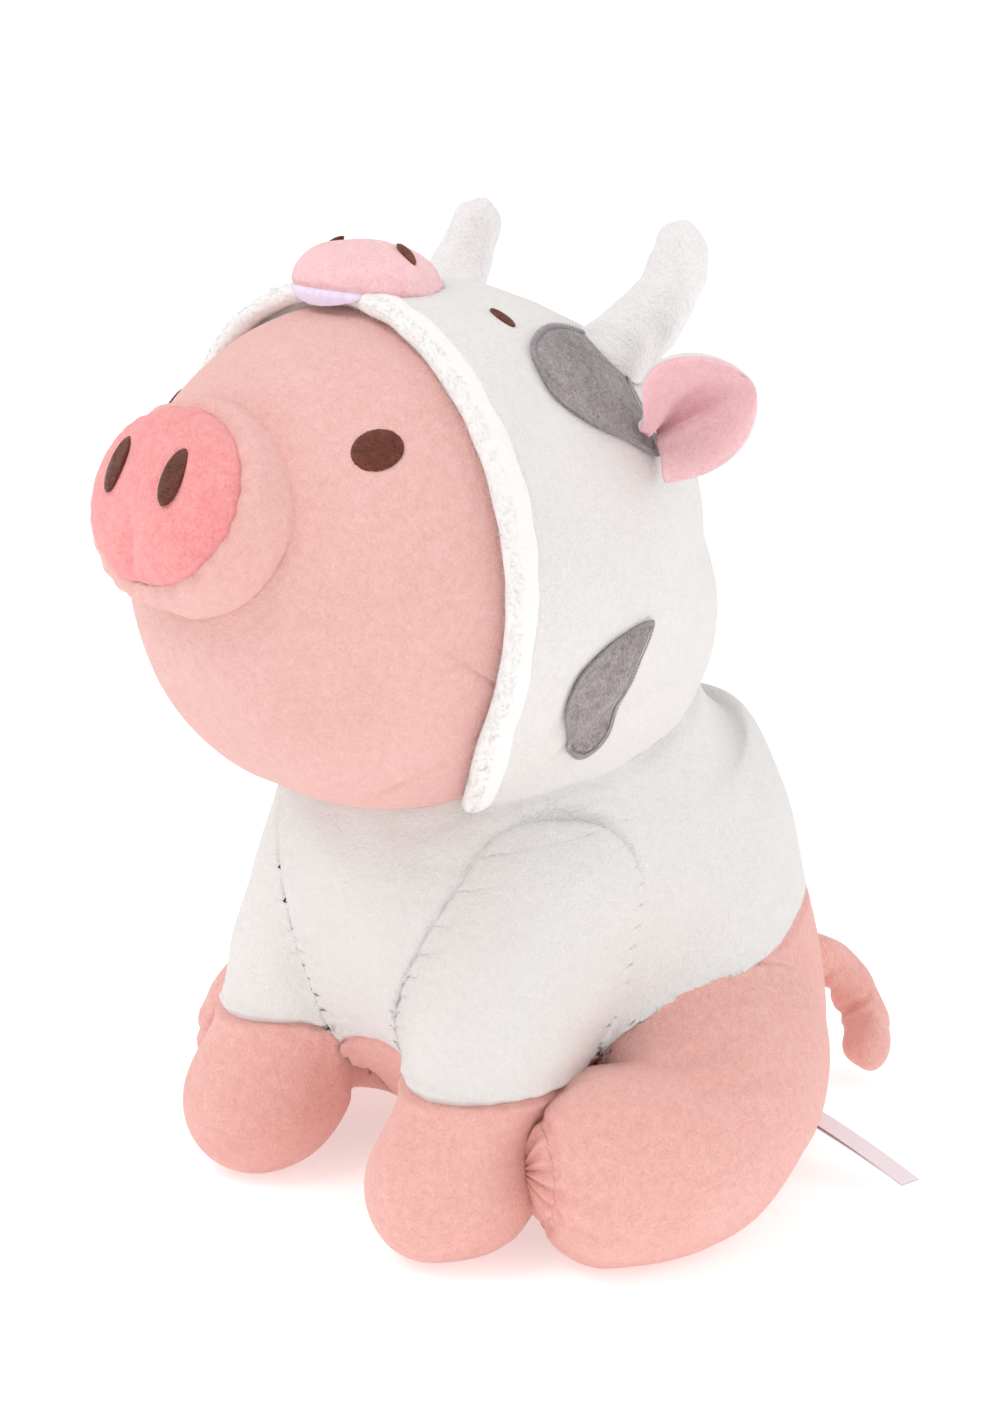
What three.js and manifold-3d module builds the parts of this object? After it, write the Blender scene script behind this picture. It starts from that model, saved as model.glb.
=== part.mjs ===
// A sitting plush pig in a hooded cow outfit, in millimetres. +Z is up, the pig looks along -Y
// and its left side is +X. The toy is sewn from stuffed covers: each cover, pad and patch is a
// solid of its own, and a seam between two of them is a narrow gap.

import * as THREE from "three";
import { mergeVertices } from "three/addons/utils/BufferGeometryUtils.js";
import Module from "manifold-3d";

const wasm = await Module();
wasm.setup();

// Shared cloth sizes
const seam = 0.35; // the gap left where two sewn pieces meet
const cloth = 1.8; // a cover's thickness with its pile
const past = 60; // how far a cutting block reaches past what it cuts
const wholeToy = 400; // half the side of a block that is larger than the toy
const beamLong = 180; // from the middle of the head to well outside the hood
const sink = 0.5; // how much of a soft form is pressed flat where the toy stands

// Head: a ball drawn out to the back, under the hood
const headHeight = 208.5; // from the floor to the middle of the ball
const headWide = 77; // half sizes
const headFront = 76;
const headBack = 101;
const headTop = 75.5;
const headChin = 78.5;
const noseLift = THREE.MathUtils.degToRad(24); // the face looks up by this much

// Snout: a short stuffed drum and a deeper pink front pillow
const snoutDrop = 8.5; // the snout's axis lies below the middle of the ball
const snoutWide = 37;
const snoutTall = 30;
const snoutFront = 82.5; // from the middle of the head to the drum's front
const snoutRoot = 50;
const snoutRound = 7;
const discWide = 32.5;
const discTall = 26.5;
const discBulge = 11;
const discEdge = 3.5;
const cleftDeep = 4.5;
const cleftWide = 8;
const nostrilWide = 3.1; // half sizes of the embroidered ovals
const nostrilTall = 8.4;
const nostrilApart = 13.6;
const nostrilUp = 4.5;
const stitch = 0.9; // how proud the embroidery stands

// Eyes
const eyeWide = 7.2;
const eyeTall = 6;
const eyeSide = THREE.MathUtils.degToRad(42);
const eyeUp = THREE.MathUtils.degToRad(15.5);

// Hood: a lined cap round the back half of the head
const hoodEase = 1.2; // the air between the head and the lining
const hoodDrape = 36; // how much more it stands off the nape
const lining = 1.2;
const hoodPlush = 3.6;
const hoodRim = -16.5; // where the rolled rim runs, from the middle of the head
const rimRadius = 3.3;
const rimEnd = THREE.MathUtils.degToRad(152);

// Muzzle pad on the brow of the hood
const muzzleWide = 25.5;
const muzzleDeep = 20;
const muzzleTall = 10.5;
const muzzleForward = 6.5;
const muzzleUp = 82.5;
const muzzleUnder = 2.5; // how far below its middle the lavender panel starts
const muzzleTilt = THREE.MathUtils.degToRad(16); // its front edge is raised
const muzzleNostrilWide = 4.4;
const muzzleNostrilDeep = 1.6;
const muzzleNostrilApart = 11;
const muzzleNostrilForward = 4;
const hoodEyeWide = 4.8;
const hoodEyeDeep = 1.7;
const hoodEyeApart = 38;
const hoodEyeBack = 14;

// Horns and ears
const hornRoot = new THREE.Vector3(38, 48, 52);
const hornBend = new THREE.Vector3(47, 69.5, 73);
const hornTip = new THREE.Vector3(46, 80, 95);
const hornThick = 12.5; // radius at the root
const hornWaist = 9.8;
const hornThin = 7.5;
const earRoot = new THREE.Vector3(67, 45, 35.8);
const earLong = 36;
const earWide = 19;
const earPlush = 3;
const earLining = 1.6;
const earFold = THREE.MathUtils.degToRad(72); // half the angle that the ear is curled through
const earHem = 2; // how far the pink stops short of the edge
const earStub = 6; // radius of the gathered root
const earTurn = THREE.MathUtils.degToRad(20);
const earTip = THREE.MathUtils.degToRad(30);

// Torso: rings from the neck down to the floor, with their heights, how far they lie back from
// the head's middle, and their half widths and half depths
const torsoHeights = [172, 150, 122, 92, 62, 30, -sink];
const torsoBacks = [50, 52, 55, 68, 82, 91, 94];
const torsoWidths = [44, 56, 65, 71, 73, 75, 68];
const torsoDepths = [48, 62, 78, 83, 78, 71, 64];
const torsoTopRound = 22;
const torsoFootRound = 24;
const waistHeight = 72; // height of the colour seam at the sides
const waistAt = 80; // how far back it has that height
const waistTilt = THREE.MathUtils.degToRad(14); // it rises to the back and drops to the belly
const cuffHeight = 53;
const legEase = 0.8; // clearance round a shoulder
const legSwing = THREE.MathUtils.degToRad(20);
const swingShares = [0.5, 1];
const roomSpare = 2.4; // what the coarse room is larger by, for its flat sides

// Front legs: a white sleeve and a pink paw, each swinging on its shoulder
const shoulder = new THREE.Vector3(44, 22, 104);
const shoulderRadius = 27;
const elbow = new THREE.Vector3(47, 4, 66);
const cuff = new THREE.Vector3(47, -7, 44);
const cuffRadius = 22;
const sleeveRadius = 26;
const sleeveRound = 8;
const pawMiddle = new THREE.Vector3(47, -13, 24);
const pawEnd = new THREE.Vector3(47, -14, -sink);
const pawWide = 25.5;
const pawDeep = 27;
const pawRound = 24;

// Hind legs: they lie on the floor and turn in at the foot
const hip = new THREE.Vector3(32, 102, 38);
const thigh = new THREE.Vector3(61, 78, 38);
const knee = new THREE.Vector3(86, 38, 29.5);
const foot = new THREE.Vector3(66, -1, 29);
const hipRadius = 38;
const thighRadius = 38;
const kneeRadius = 30;
const footRadius = 29;
const soleRound = 15;
const soleDeep = 7; // how far the sole's seam lies from the tip of the foot

// Tail and label
const tailSeat = new THREE.Vector3(9, 161, 45); // the middle of its rounded root
const tailTurn = new THREE.Vector3(12, 187, 38);
const tailDrop = new THREE.Vector3(24, 192, 21);
const tailEnd = new THREE.Vector3(38, 179, 9.5);
const tailRadius = 8;
const labelRoot = new THREE.Vector3(64.5, 116.8, 18.1);
const labelTip = new THREE.Vector3(107, 126, 2);
const labelWide = 13;
const labelRoll = THREE.MathUtils.degToRad(12); // its outer edge hangs lower
const labelThick = 1.2;

// Patches on the near side of the hood, as directions from the middle of the head: round from
// the front, and up
const degrees = (pairs) => pairs.map((pair) => pair.map(THREE.MathUtils.degToRad));
const patchUpper = degrees([
  [123, 53],
  [103.4, 50],
  [99, 40.4],
  [105, 32.3],
  [116.5, 25.3],
  [124, 21.3],
  [128, 26],
  [132.6, 33.3],
  [139, 38.2],
  [146, 43],
]);
const patchLower = degrees([
  [112.6, -9],
  [110.8, -17.4],
  [110.4, -26],
  [111, -34],
  [106, -38],
  [98.9, -32],
  [94, -23],
  [95.5, -16.5],
  [102, -11.9],
]);

const paint = {
  skin: 0xf5bcb2,
  paw: 0xf0a8a0,
  snout: 0xf68e98,
  white: 0xeeeceb,
  horn: 0xf1efe8,
  lavender: 0xd8caec,
  grey: 0x9c9597,
  thread: 0x4e2418,
  pad: 0xf2b2b8,
  fibre: 0xf7f7f4,
};

/** A closed surface through rings of points, with a point of its own at each end. */
function skinOver(rings, first, last) {
  const sides = rings[0].length;
  const points = [first, ...rings.flat(), last];
  const end = points.length - 1;
  const faces = [];
  for (let side = 0; side < sides; side++) {
    const next = (side + 1) % sides;
    faces.push(0, 1 + next, 1 + side);
    for (let ring = 0; ring + 1 < rings.length; ring++) {
      const here = 1 + ring * sides;
      const there = here + sides;
      faces.push(here + side, here + next, there + side);
      faces.push(here + next, there + next, there + side);
    }
    const top = 1 + (rings.length - 1) * sides;
    faces.push(end, top + side, top + next);
  }
  const geometry = new THREE.BufferGeometry().setFromPoints(points);
  geometry.setIndex(faces);
  return solid(geometry);
}

/** A three.js geometry as a solid that can be cut and joined, faces outward. */
function solid(geometry) {
  const bare = geometry.clone();
  bare.deleteAttribute("normal");
  bare.deleteAttribute("uv");
  const merged = mergeVertices(bare);
  const vertProperties = new Float32Array(merged.attributes.position.array);
  const triVerts = new Uint32Array(merged.index.array);
  const made = new wasm.Manifold(new wasm.Mesh({ numProp: 3, vertProperties, triVerts }));
  if (made.volume() > 0) {
    return made;
  }
  triVerts.reverse();
  return new wasm.Manifold(new wasm.Mesh({ numProp: 3, vertProperties, triVerts }));
}

/** A ball whose unit directions are moved by a function, with its poles up and down. */
function ball(sides, rings, place) {
  const geometry = new THREE.SphereGeometry(1, sides, rings).rotateX(Math.PI / 2);
  const position = geometry.attributes.position;
  const point = new THREE.Vector3();
  for (let i = 0; i < position.count; i++) {
    point.fromBufferAttribute(position, i);
    const { x, y, z } = place(point);
    position.setXYZ(i, x, y, z);
  }
  return solid(geometry);
}

/**
 * A stuffed limb along a smooth line: its half sizes swell and taper with the stations, and both
 * ends are rounded off. grow makes it larger all round.
 */
function limb({ line, wide, deep, round, sides, steps }, grow = 0) {
  const curve = new THREE.CatmullRomCurve3(line);
  const sizes = new THREE.CatmullRomCurve3(wide.map((w, i) => new THREE.Vector3(w, deep[i], 0)));
  const length = curve.getLength();
  const places = Array.from({ length: steps - 1 }, (_, i) => {
    const even = (i + 1) / steps;
    return (even + (1 - Math.cos(Math.PI * even)) / 2) / 2;
  });
  const loops = places.map((u) => {
    const t = curve.getUtoTmapping(u);
    const forward = curve.getTangent(t);
    const across = new THREE.Vector3(1, 0, 0).addScaledVector(forward, -forward.x).normalize();
    const upward = new THREE.Vector3().crossVectors(forward, across);
    const full = length + 2 * grow;
    const shift = (u - 0.5) * 2 * grow;
    const centre = curve.getPoint(t).addScaledVector(forward, shift);
    const size = sizes.getPoint(t);
    const end = Math.min((u * full) / (round[0] + grow), ((1 - u) * full) / (round[1] + grow), 1);
    const taper = Math.sqrt(1 - (1 - end) ** 2);
    return Array.from({ length: sides }, (_, side) => {
      const angle = (side / sides) * 2 * Math.PI;
      return centre
        .clone()
        .addScaledVector(across, Math.cos(angle) * (size.x + grow) * taper)
        .addScaledVector(upward, Math.sin(angle) * (size.y + grow) * taper);
    });
  });
  const first = curve.getPoint(0).addScaledVector(curve.getTangent(0), -grow);
  const last = curve.getPoint(1).addScaledVector(curve.getTangent(1), grow);
  return skinOver(loops, first, last);
}

/** A block between two corners. */
function block(low, high) {
  const size = high.clone().sub(low);
  const middle = low.clone().add(high).divideScalar(2);
  return solid(new THREE.BoxGeometry(size.x, size.y, size.z).translate(middle.x, middle.y, middle.z));
}

/** A solid moved by a three.js matrix. */
function moved(shape, matrix) {
  return shape.transform(matrix.elements.slice());
}

/** The round root of a limb, which turns in a socket of its own shape. */
function roundRoot(radius, at) {
  return ball(16, 10, (n) => n.clone().multiplyScalar(radius).add(at));
}

const atHead = new THREE.Matrix4().makeTranslation(0, 0, headHeight);
const inFace = atHead.clone().multiply(new THREE.Matrix4().makeRotationX(-noseLift));
const atSnout = inFace.clone().multiply(new THREE.Matrix4().makeTranslation(0, 0, -snoutDrop));
const mirror = new THREE.Matrix4().makeScale(-1, 1, 1);
const floorBlock = block(
  new THREE.Vector3(-wholeToy, -wholeToy, -past),
  new THREE.Vector3(wholeToy, wholeToy, 0),
);

/** The head's form, grown by a distance. */
function headForm(grow, sides = 28, rings = 16) {
  const form = ball(sides, rings, (n) => {
    const depth = n.y < 0 ? headFront : headBack;
    const height = n.z < 0 ? headChin : headTop;
    return new THREE.Vector3(n.x * (headWide + grow), n.y * (depth + grow), n.z * (height + grow));
  });
  return moved(form, atHead);
}

/** The hood's form: the head's, standing off further at the crown. */
function hoodForm(grow) {
  const form = ball(28, 16, (n) => {
    const depth = n.y < 0 ? headFront : headBack;
    const height = n.z < 0 ? headChin : headTop;
    const ease = grow + hoodEase + hoodDrape * Math.max(n.y, 0) * Math.max(-n.z, 0);
    return new THREE.Vector3(n.x * (headWide + ease), n.y * (depth + ease), n.z * (height + ease));
  });
  return moved(form, atHead);
}

const torsoShape = {
  line: torsoHeights.map((height, i) => new THREE.Vector3(0, torsoBacks[i], height)),
  wide: torsoWidths,
  deep: torsoDepths,
  round: [torsoTopRound, torsoFootRound],
  sides: 28,
  steps: 14,
};
const innerShape = { ...torsoShape, sides: 18, steps: 9 };
const legShape = {
  line: [shoulder, elbow, cuff, pawMiddle, pawEnd],
  wide: [sleeveRadius, sleeveRadius, cuffRadius, pawWide, pawWide],
  deep: [sleeveRadius, sleeveRadius, cuffRadius, pawDeep, pawDeep],
  round: [sleeveRound, pawRound],
  sides: 18,
  steps: 12,
};
const hindShape = {
  line: [hip, thigh, knee, foot],
  wide: [hipRadius, thighRadius, kneeRadius, footRadius],
  deep: [hipRadius, thighRadius, kneeRadius, footRadius],
  round: [hipRadius, soleRound],
  sides: 18,
  steps: 10,
};
const hornShape = {
  line: [hornRoot, hornBend, hornTip],
  wide: [hornThick, hornWaist, hornThin],
  deep: [hornThick, hornWaist, hornThin],
  round: [hornThin, hornThin],
  sides: 14,
  steps: 9,
};
const tailShape = {
  line: [tailSeat.clone().add(new THREE.Vector3(0, -tailRadius, 0)), tailSeat, tailTurn, tailDrop, tailEnd],
  wide: [tailRadius, tailRadius, tailRadius, tailRadius, tailRadius],
  deep: [tailRadius, tailRadius, tailRadius, tailRadius, tailRadius],
  round: [tailRadius, tailRadius],
  sides: 12,
  steps: 12,
};

const torsoForm = (grow) => limb(torsoShape, grow).subtract(floorBlock);
const pieces = new Map();
const colours = new Map();

/** Keeps one piece under its name, without the crumbs that a cut can leave. */
function keep(name, shape, colour) {
  const parts = shape.decompose().sort((a, b) => b.volume() - a.volume());
  pieces.set(name, parts[0]);
  colours.set(name, colour);
}

/** Keeps a piece on the pig's left and its mirror image on the right. */
function keepPair(name, shape, colour) {
  keep(name + "_left", shape, colour);
  keep(name + "_right", moved(shape, mirror), colour);
}

// Head
const neckHole = limb(torsoShape, -cloth * 4);
keep("head_cover", headForm(0).subtract(headForm(-cloth, 18, 10)).subtract(neckHole), paint.skin);
keep("head_filling", headForm(-cloth - seam, 18, 10).subtract(torsoForm(seam)), paint.fibre);

// Snout, built looking along -Y and then tilted up with the face
const snoutShape = {
  line: [-snoutRoot, -(snoutRoot + snoutFront) / 2, -snoutFront].map((y) => new THREE.Vector3(0, y, 0)),
  wide: [snoutWide, snoutWide, snoutWide - discEdge],
  deep: [snoutTall, snoutTall, snoutTall - discEdge],
  round: [snoutRound / 2, snoutRound],
  sides: 24,
  steps: 8,
};
/** The front pillow of the snout, notched at the middle of its lower edge. */
function discForm(grow) {
  return ball(24, 10, (n) => {
    const off = (n.x * discWide) / cleftWide;
    const notch = cleftDeep * Math.exp(-off * off) * Math.max(-n.z, 0) ** 4;
    return new THREE.Vector3(
      n.x * (discWide + grow),
      n.y * (discBulge + grow) - snoutFront,
      n.z * (discTall + grow) + notch,
    );
  });
}
const drum = limb(snoutShape).subtract(discForm(seam));
keep("snout_band", moved(drum, atSnout).subtract(headForm(seam)), paint.skin);
keep("snout_disc", moved(discForm(0), atSnout).subtract(headForm(seam)), paint.snout);

/** A flat oval bar along Y, for cutting embroidery out of a raised skin. */
function ovalBar(wide, tall, length) {
  const outline = new THREE.Shape().absellipse(0, 0, wide, tall, 0, 2 * Math.PI);
  const bar = new THREE.ExtrudeGeometry(outline, { depth: length, bevelEnabled: false, curveSegments: 9 });
  return solid(bar.rotateX(Math.PI / 2));
}
const nostrilBar = moved(
  ovalBar(nostrilWide, nostrilTall, past),
  new THREE.Matrix4().makeTranslation(nostrilApart, -snoutFront, nostrilUp),
);
const discSkin = discForm(seam + stitch).subtract(discForm(seam));
keepPair("nostril", moved(discSkin.intersect(nostrilBar), atSnout), paint.thread);
const eyeTurn = new THREE.Matrix4()
  .makeRotationZ(eyeSide)
  .multiply(new THREE.Matrix4().makeRotationX(-eyeUp));
const eyeBar = moved(ovalBar(eyeWide, eyeTall, beamLong), inFace.clone().multiply(eyeTurn));
const headSkin = headForm(seam + stitch).subtract(headForm(seam));
keepPair("eye", headSkin.intersect(eyeBar), paint.thread);

// Hood
const rimBlock = block(
  new THREE.Vector3(-wholeToy, -wholeToy, 0),
  new THREE.Vector3(wholeToy, hoodRim + rimRadius + seam, wholeToy),
);
const torsoNear = torsoForm(seam);
const lineIn = hoodForm(lining).subtract(hoodForm(0));
const shellIn = lining + seam;
const shellOut = shellIn + hoodPlush;
const shell = hoodForm(shellOut).subtract(hoodForm(shellIn));
keep("hood_lining", lineIn.subtract(rimBlock).subtract(torsoNear), paint.lavender);
keep("hood_shell", shell.subtract(rimBlock).subtract(torsoNear), paint.white);

/** A point of the rim at an angle from the crown, on the hood's middle. */
function rimPoint(angle) {
  const ease = hoodEase + shellOut / 2 + rimRadius / 2;
  const level = Math.sqrt(1 - (hoodRim / (headFront + ease)) ** 2);
  const height = Math.cos(angle) < 0 ? headChin : headTop;
  return new THREE.Vector3(
    Math.sin(angle) * (headWide + ease) * level,
    hoodRim,
    headHeight + Math.cos(angle) * (height + ease) * level,
  );
}
/** The rolled rim, a tube round the face. */
function rimForm(radius) {
  const points = Array.from({ length: 17 }, (_, i) => rimPoint(rimEnd * (i / 8 - 1)));
  const section = new THREE.Shape().absarc(0, 0, radius, 0, 2 * Math.PI);
  const path = new THREE.CatmullRomCurve3(points);
  return solid(new THREE.ExtrudeGeometry(section, { steps: 32, curveSegments: 4, extrudePath: path }));
}
keep("hood_edge", rimForm(rimRadius).subtract(torsoNear).subtract(headForm(seam)), paint.white);

// Muzzle pad with its underside
const muzzlePlace = new THREE.Matrix4()
  .makeTranslation(0, -muzzleForward, headHeight + muzzleUp)
  .multiply(new THREE.Matrix4().makeRotationX(-muzzleTilt));
function muzzleForm(grow) {
  const form = ball(20, 10, (n) => {
    const x = Math.sign(n.x) * Math.abs(n.x) ** 0.85;
    return new THREE.Vector3(x * (muzzleWide + grow), n.y * (muzzleDeep + grow), n.z * (muzzleTall + grow));
  });
  return moved(form, muzzlePlace);
}
const belowLevel = block(new THREE.Vector3(-past, -past, -past), new THREE.Vector3(past, past, -muzzleUnder));
const below = moved(belowLevel, muzzlePlace);
const aboveCut = below.translate(0, 0, seam);
const hoodNear = hoodForm(shellOut + seam);
const onHood = muzzleForm(0).subtract(hoodNear).subtract(rimForm(rimRadius + seam));
keep("muzzle", onHood.subtract(aboveCut), paint.pad);
keep("muzzle_underside", onHood.intersect(below), paint.lavender);

/** A flat oval bar along Z. */
function uprightBar(wide, deep, x, y, z) {
  const outline = new THREE.Shape().absellipse(0, 0, wide, deep, 0, 2 * Math.PI);
  const bar = new THREE.ExtrudeGeometry(outline, { depth: past, bevelEnabled: false, curveSegments: 8 });
  return solid(bar.translate(x, y, headHeight + z));
}
const muzzleSkin = muzzleForm(seam + stitch).subtract(muzzleForm(seam));
const muzzleBar = uprightBar(
  muzzleNostrilWide,
  muzzleNostrilDeep,
  muzzleNostrilApart,
  -muzzleForward - muzzleNostrilForward,
  muzzleUp,
);
keepPair("muzzle_nostril", muzzleSkin.intersect(muzzleBar), paint.thread);
const hoodSkin = hoodForm(shellOut + seam + stitch).subtract(hoodForm(shellOut + seam));
const hoodEyeBar = uprightBar(hoodEyeWide, hoodEyeDeep, hoodEyeApart, hoodEyeBack, headTop / 2);
keepPair("hood_eye", hoodSkin.intersect(hoodEyeBar), paint.thread);

// Horns
const horn = moved(limb(hornShape), atHead).subtract(hoodNear);
keepPair("horn", horn, paint.horn);

// Patches, each outlined by directions from the middle of the head
/** A cone from the middle of the head through a closed outline of directions. */
function beam(outline) {
  const aims = outline.map(([side, up]) => {
    const level = new THREE.Vector3(Math.sin(side), -Math.cos(side), Math.tan(up));
    return level.setLength(beamLong);
  });
  const loop = new THREE.CatmullRomCurve3(aims, true).getPoints(aims.length * 4).slice(0, -1);
  const middle = aims.reduce((sum, aim) => sum.add(aim), new THREE.Vector3()).divideScalar(aims.length);
  return moved(skinOver([loop], new THREE.Vector3(), middle), atHead);
}
const besideHorn = beam(patchUpper).subtract(moved(limb(hornShape, seam), atHead));
keep("patch_upper", hoodSkin.intersect(besideHorn), paint.grey);
keep("patch_lower", hoodSkin.intersect(beam(patchLower)), paint.grey);

// Ears: a curled leaf of plush, lined with pink, on a gathered root
/** A box bent into a sheet: u runs along it, v across it and w through it. */
function bent(along, across, place) {
  const geometry = new THREE.BoxGeometry(1, 1, 1, along, across, 1);
  const position = geometry.attributes.position;
  for (let i = 0; i < position.count; i++) {
    const { x, y, z } = place(position.getX(i) + 0.5, position.getY(i) * 2, position.getZ(i) + 0.5);
    position.setXYZ(i, x, y, z);
  }
  return solid(geometry);
}
const leafSetShare = 0.6; // how much of the curl lies in front of the root
/** The ear's leaf between two depths below its outer face, pointing along +X. */
function leaf(top, bottom, shorter) {
  return bent(6, 6, (u, v, w) => {
    const belly = Math.sqrt(Math.max(1 - ((u - 0.3) / 0.76) ** 2, 0.04));
    const radius = (earWide * belly) / Math.sin(earFold);
    const angle = v * (earFold - shorter / earWide);
    const reach = radius - top - (bottom - top) * (1 - w);
    return new THREE.Vector3(
      earStub / 2 + (earLong - shorter) * u,
      reach * Math.cos(angle) - radius * ((1 - leafSetShare) * Math.cos(earFold) + leafSetShare),
      reach * Math.sin(angle),
    );
  });
}
const earPlace = atHead
  .clone()
  .multiply(new THREE.Matrix4().makeTranslation(earRoot.x, earRoot.y, earRoot.z))
  .multiply(new THREE.Matrix4().makeRotationZ(earTurn))
  .multiply(new THREE.Matrix4().makeRotationY(-earTip));
const stub = roundRoot(earStub, new THREE.Vector3());
const stubHole = roundRoot(earStub + seam, new THREE.Vector3());
const earSkin = leaf(0, earPlush, 0).add(stub);
const earPink = leaf(earPlush + seam * 1.5, earPlush + seam * 1.5 + earLining, earHem).subtract(stubHole);
keepPair("ear_outer", moved(earSkin, earPlace), paint.white);
keepPair("ear_inner", moved(earPink, earPlace), paint.pad);
const earSeat = moved(stubHole, earPlace);
const earSeats = earSeat.add(moved(earSeat, mirror));
for (const name of ["hood_lining", "hood_shell", "patch_upper"]) {
  keep(name, pieces.get(name).subtract(earSeats), colours.get(name));
}

// Front legs, each hanging from its shoulder
/** A leg's shape, swung forward about the line along X through the shoulder. */
function swung(shape, angle) {
  const there = new THREE.Matrix4().makeTranslation(shoulder.x, shoulder.y, shoulder.z);
  const turn = new THREE.Matrix4().makeRotationX(-angle);
  const back = new THREE.Matrix4().makeTranslation(-shoulder.x, -shoulder.y, -shoulder.z);
  return moved(shape, there.multiply(turn).multiply(back));
}
const leg = limb(legShape).add(roundRoot(shoulderRadius, shoulder)).subtract(floorBlock);
const cuffBlock = block(
  new THREE.Vector3(-wholeToy, -wholeToy, -past),
  new THREE.Vector3(wholeToy, wholeToy, cuffHeight),
);
const cuffGap = cuffBlock.translate(0, 0, seam);
keepPair("sleeve", leg.subtract(cuffGap), paint.white);
keepPair("front_paw", leg.intersect(cuffBlock), paint.paw);

const socket = limb(legShape, legEase).add(roundRoot(shoulderRadius + legEase, shoulder));
const roomShape = { ...legShape, sides: 10, steps: 6 };
/** The room that a leg needs in front of its place at rest, of one coarse leg at each share. */
function swingRoom(shares, grow) {
  const coarse = limb(roomShape, grow);
  return shares.map((share) => swung(coarse, share * legSwing)).reduce((all, one) => all.add(one));
}
const path = socket.add(swingRoom(swingShares, legEase + roomSpare));
const sockets = path.add(moved(path, mirror));
const deepRoom = swingRoom([0, 1], legEase + roomSpare * 2);
const deepPath = roundRoot(shoulderRadius + legEase * 2, shoulder).add(deepRoom);
const deepSockets = deepPath.add(moved(deepPath, mirror));

// Torso: a white upper cover, a pink lower cover and the filling they share
const waist = moved(
  block(new THREE.Vector3(-wholeToy, -wholeToy, -wholeToy), new THREE.Vector3(wholeToy, wholeToy, 0)),
  new THREE.Matrix4()
    .makeTranslation(0, waistAt, waistHeight)
    .multiply(new THREE.Matrix4().makeRotationX(waistTilt)),
);
const waistGap = waist.translate(0, 0, seam);
const tailRoom = roundRoot(tailRadius + legEase, tailSeat);
const torsoCut = torsoForm(0).subtract(headForm(seam)).subtract(sockets).subtract(tailRoom);
const cover = torsoCut.subtract(limb(innerShape, -cloth));
keep("torso_upper", cover.subtract(waistGap), paint.white);
keep("torso_lower", cover.intersect(waist), paint.paw);
const core = limb(innerShape, -cloth - seam).subtract(headForm(seam * 2)).subtract(deepSockets);
keep("torso_filling", core.subtract(tailRoom), paint.fibre);

// Hind legs with their soles
const toe = foot.clone().sub(knee).normalize();
const soleAt = foot.clone().addScaledVector(toe, -soleDeep);
const soleTurn = new THREE.Matrix4().makeRotationFromQuaternion(
  new THREE.Quaternion().setFromUnitVectors(new THREE.Vector3(0, 0, 1), toe),
);
const soleBlock = moved(
  block(new THREE.Vector3(-past, -past, 0), new THREE.Vector3(past, past, past)),
  new THREE.Matrix4().makeTranslation(soleAt.x, soleAt.y, soleAt.z).multiply(soleTurn),
);
const soleGap = soleBlock.translate(-toe.x * seam, -toe.y * seam, -toe.z * seam);
const hindBare = limb(hindShape).subtract(floorBlock).subtract(torsoForm(seam));
const hindFree = hindBare.subtract(sockets).subtract(headForm(seam));
keepPair("hind_leg", hindFree.subtract(soleGap), paint.paw);
keepPair("foot_sole", hindFree.intersect(soleBlock), paint.paw);

// Tail and label
keep("tail", limb(tailShape), paint.paw);
const labelAway = labelTip.clone().sub(labelRoot);
const labelLong = labelAway.length();
labelAway.normalize();
const labelAcross = new THREE.Vector3(0, 0, 1).cross(labelAway).normalize();
labelAcross.applyAxisAngle(labelAway, -labelRoll);
const labelUp = new THREE.Vector3().crossVectors(labelAway, labelAcross);
const label = block(
  new THREE.Vector3(0, -labelWide / 2, 0),
  new THREE.Vector3(labelLong, labelWide / 2, labelThick),
);
const labelPlace = new THREE.Matrix4()
  .makeBasis(labelAway, labelAcross, labelUp)
  .setPosition(labelRoot);
const labelCut = limb(hindShape, legEase).add(limb(torsoShape, legEase));
keep("label", moved(label, labelPlace).subtract(labelCut), paint.lavender);

const toy = new THREE.Group();
for (const [name, shape] of pieces) {
  const mesh = shape.getMesh();
  const geometry = new THREE.BufferGeometry();
  geometry.setAttribute("position", new THREE.BufferAttribute(new Float32Array(mesh.vertProperties), 3));
  geometry.setIndex(new THREE.BufferAttribute(new Uint32Array(mesh.triVerts), 1));
  const material = new THREE.MeshStandardMaterial({ color: colours.get(name), roughness: 0.9, metalness: 0 });
  const piece = new THREE.Mesh(geometry, material);
  piece.name = name;
  toy.add(piece);
}

// The origin is on the floor, under the middle of the toy
const bounds = new THREE.Box3().setFromObject(toy);
toy.position.set(0, -(bounds.min.y + bounds.max.y) / 2, 0);

export default toy;
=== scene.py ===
# %% [markdown]
# # A plush pig in a cow hood
# The toy is sewn from short-pile plush and stuffed with fibre. Each cover is first worked out as a
# smooth form on a grid, then blown up a little as cloth, which gives it the tight, slightly uneven
# look of a stuffed cover. Seams, darts and gathers are pressed into it last, because the swelling
# would smooth them away.

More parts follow.
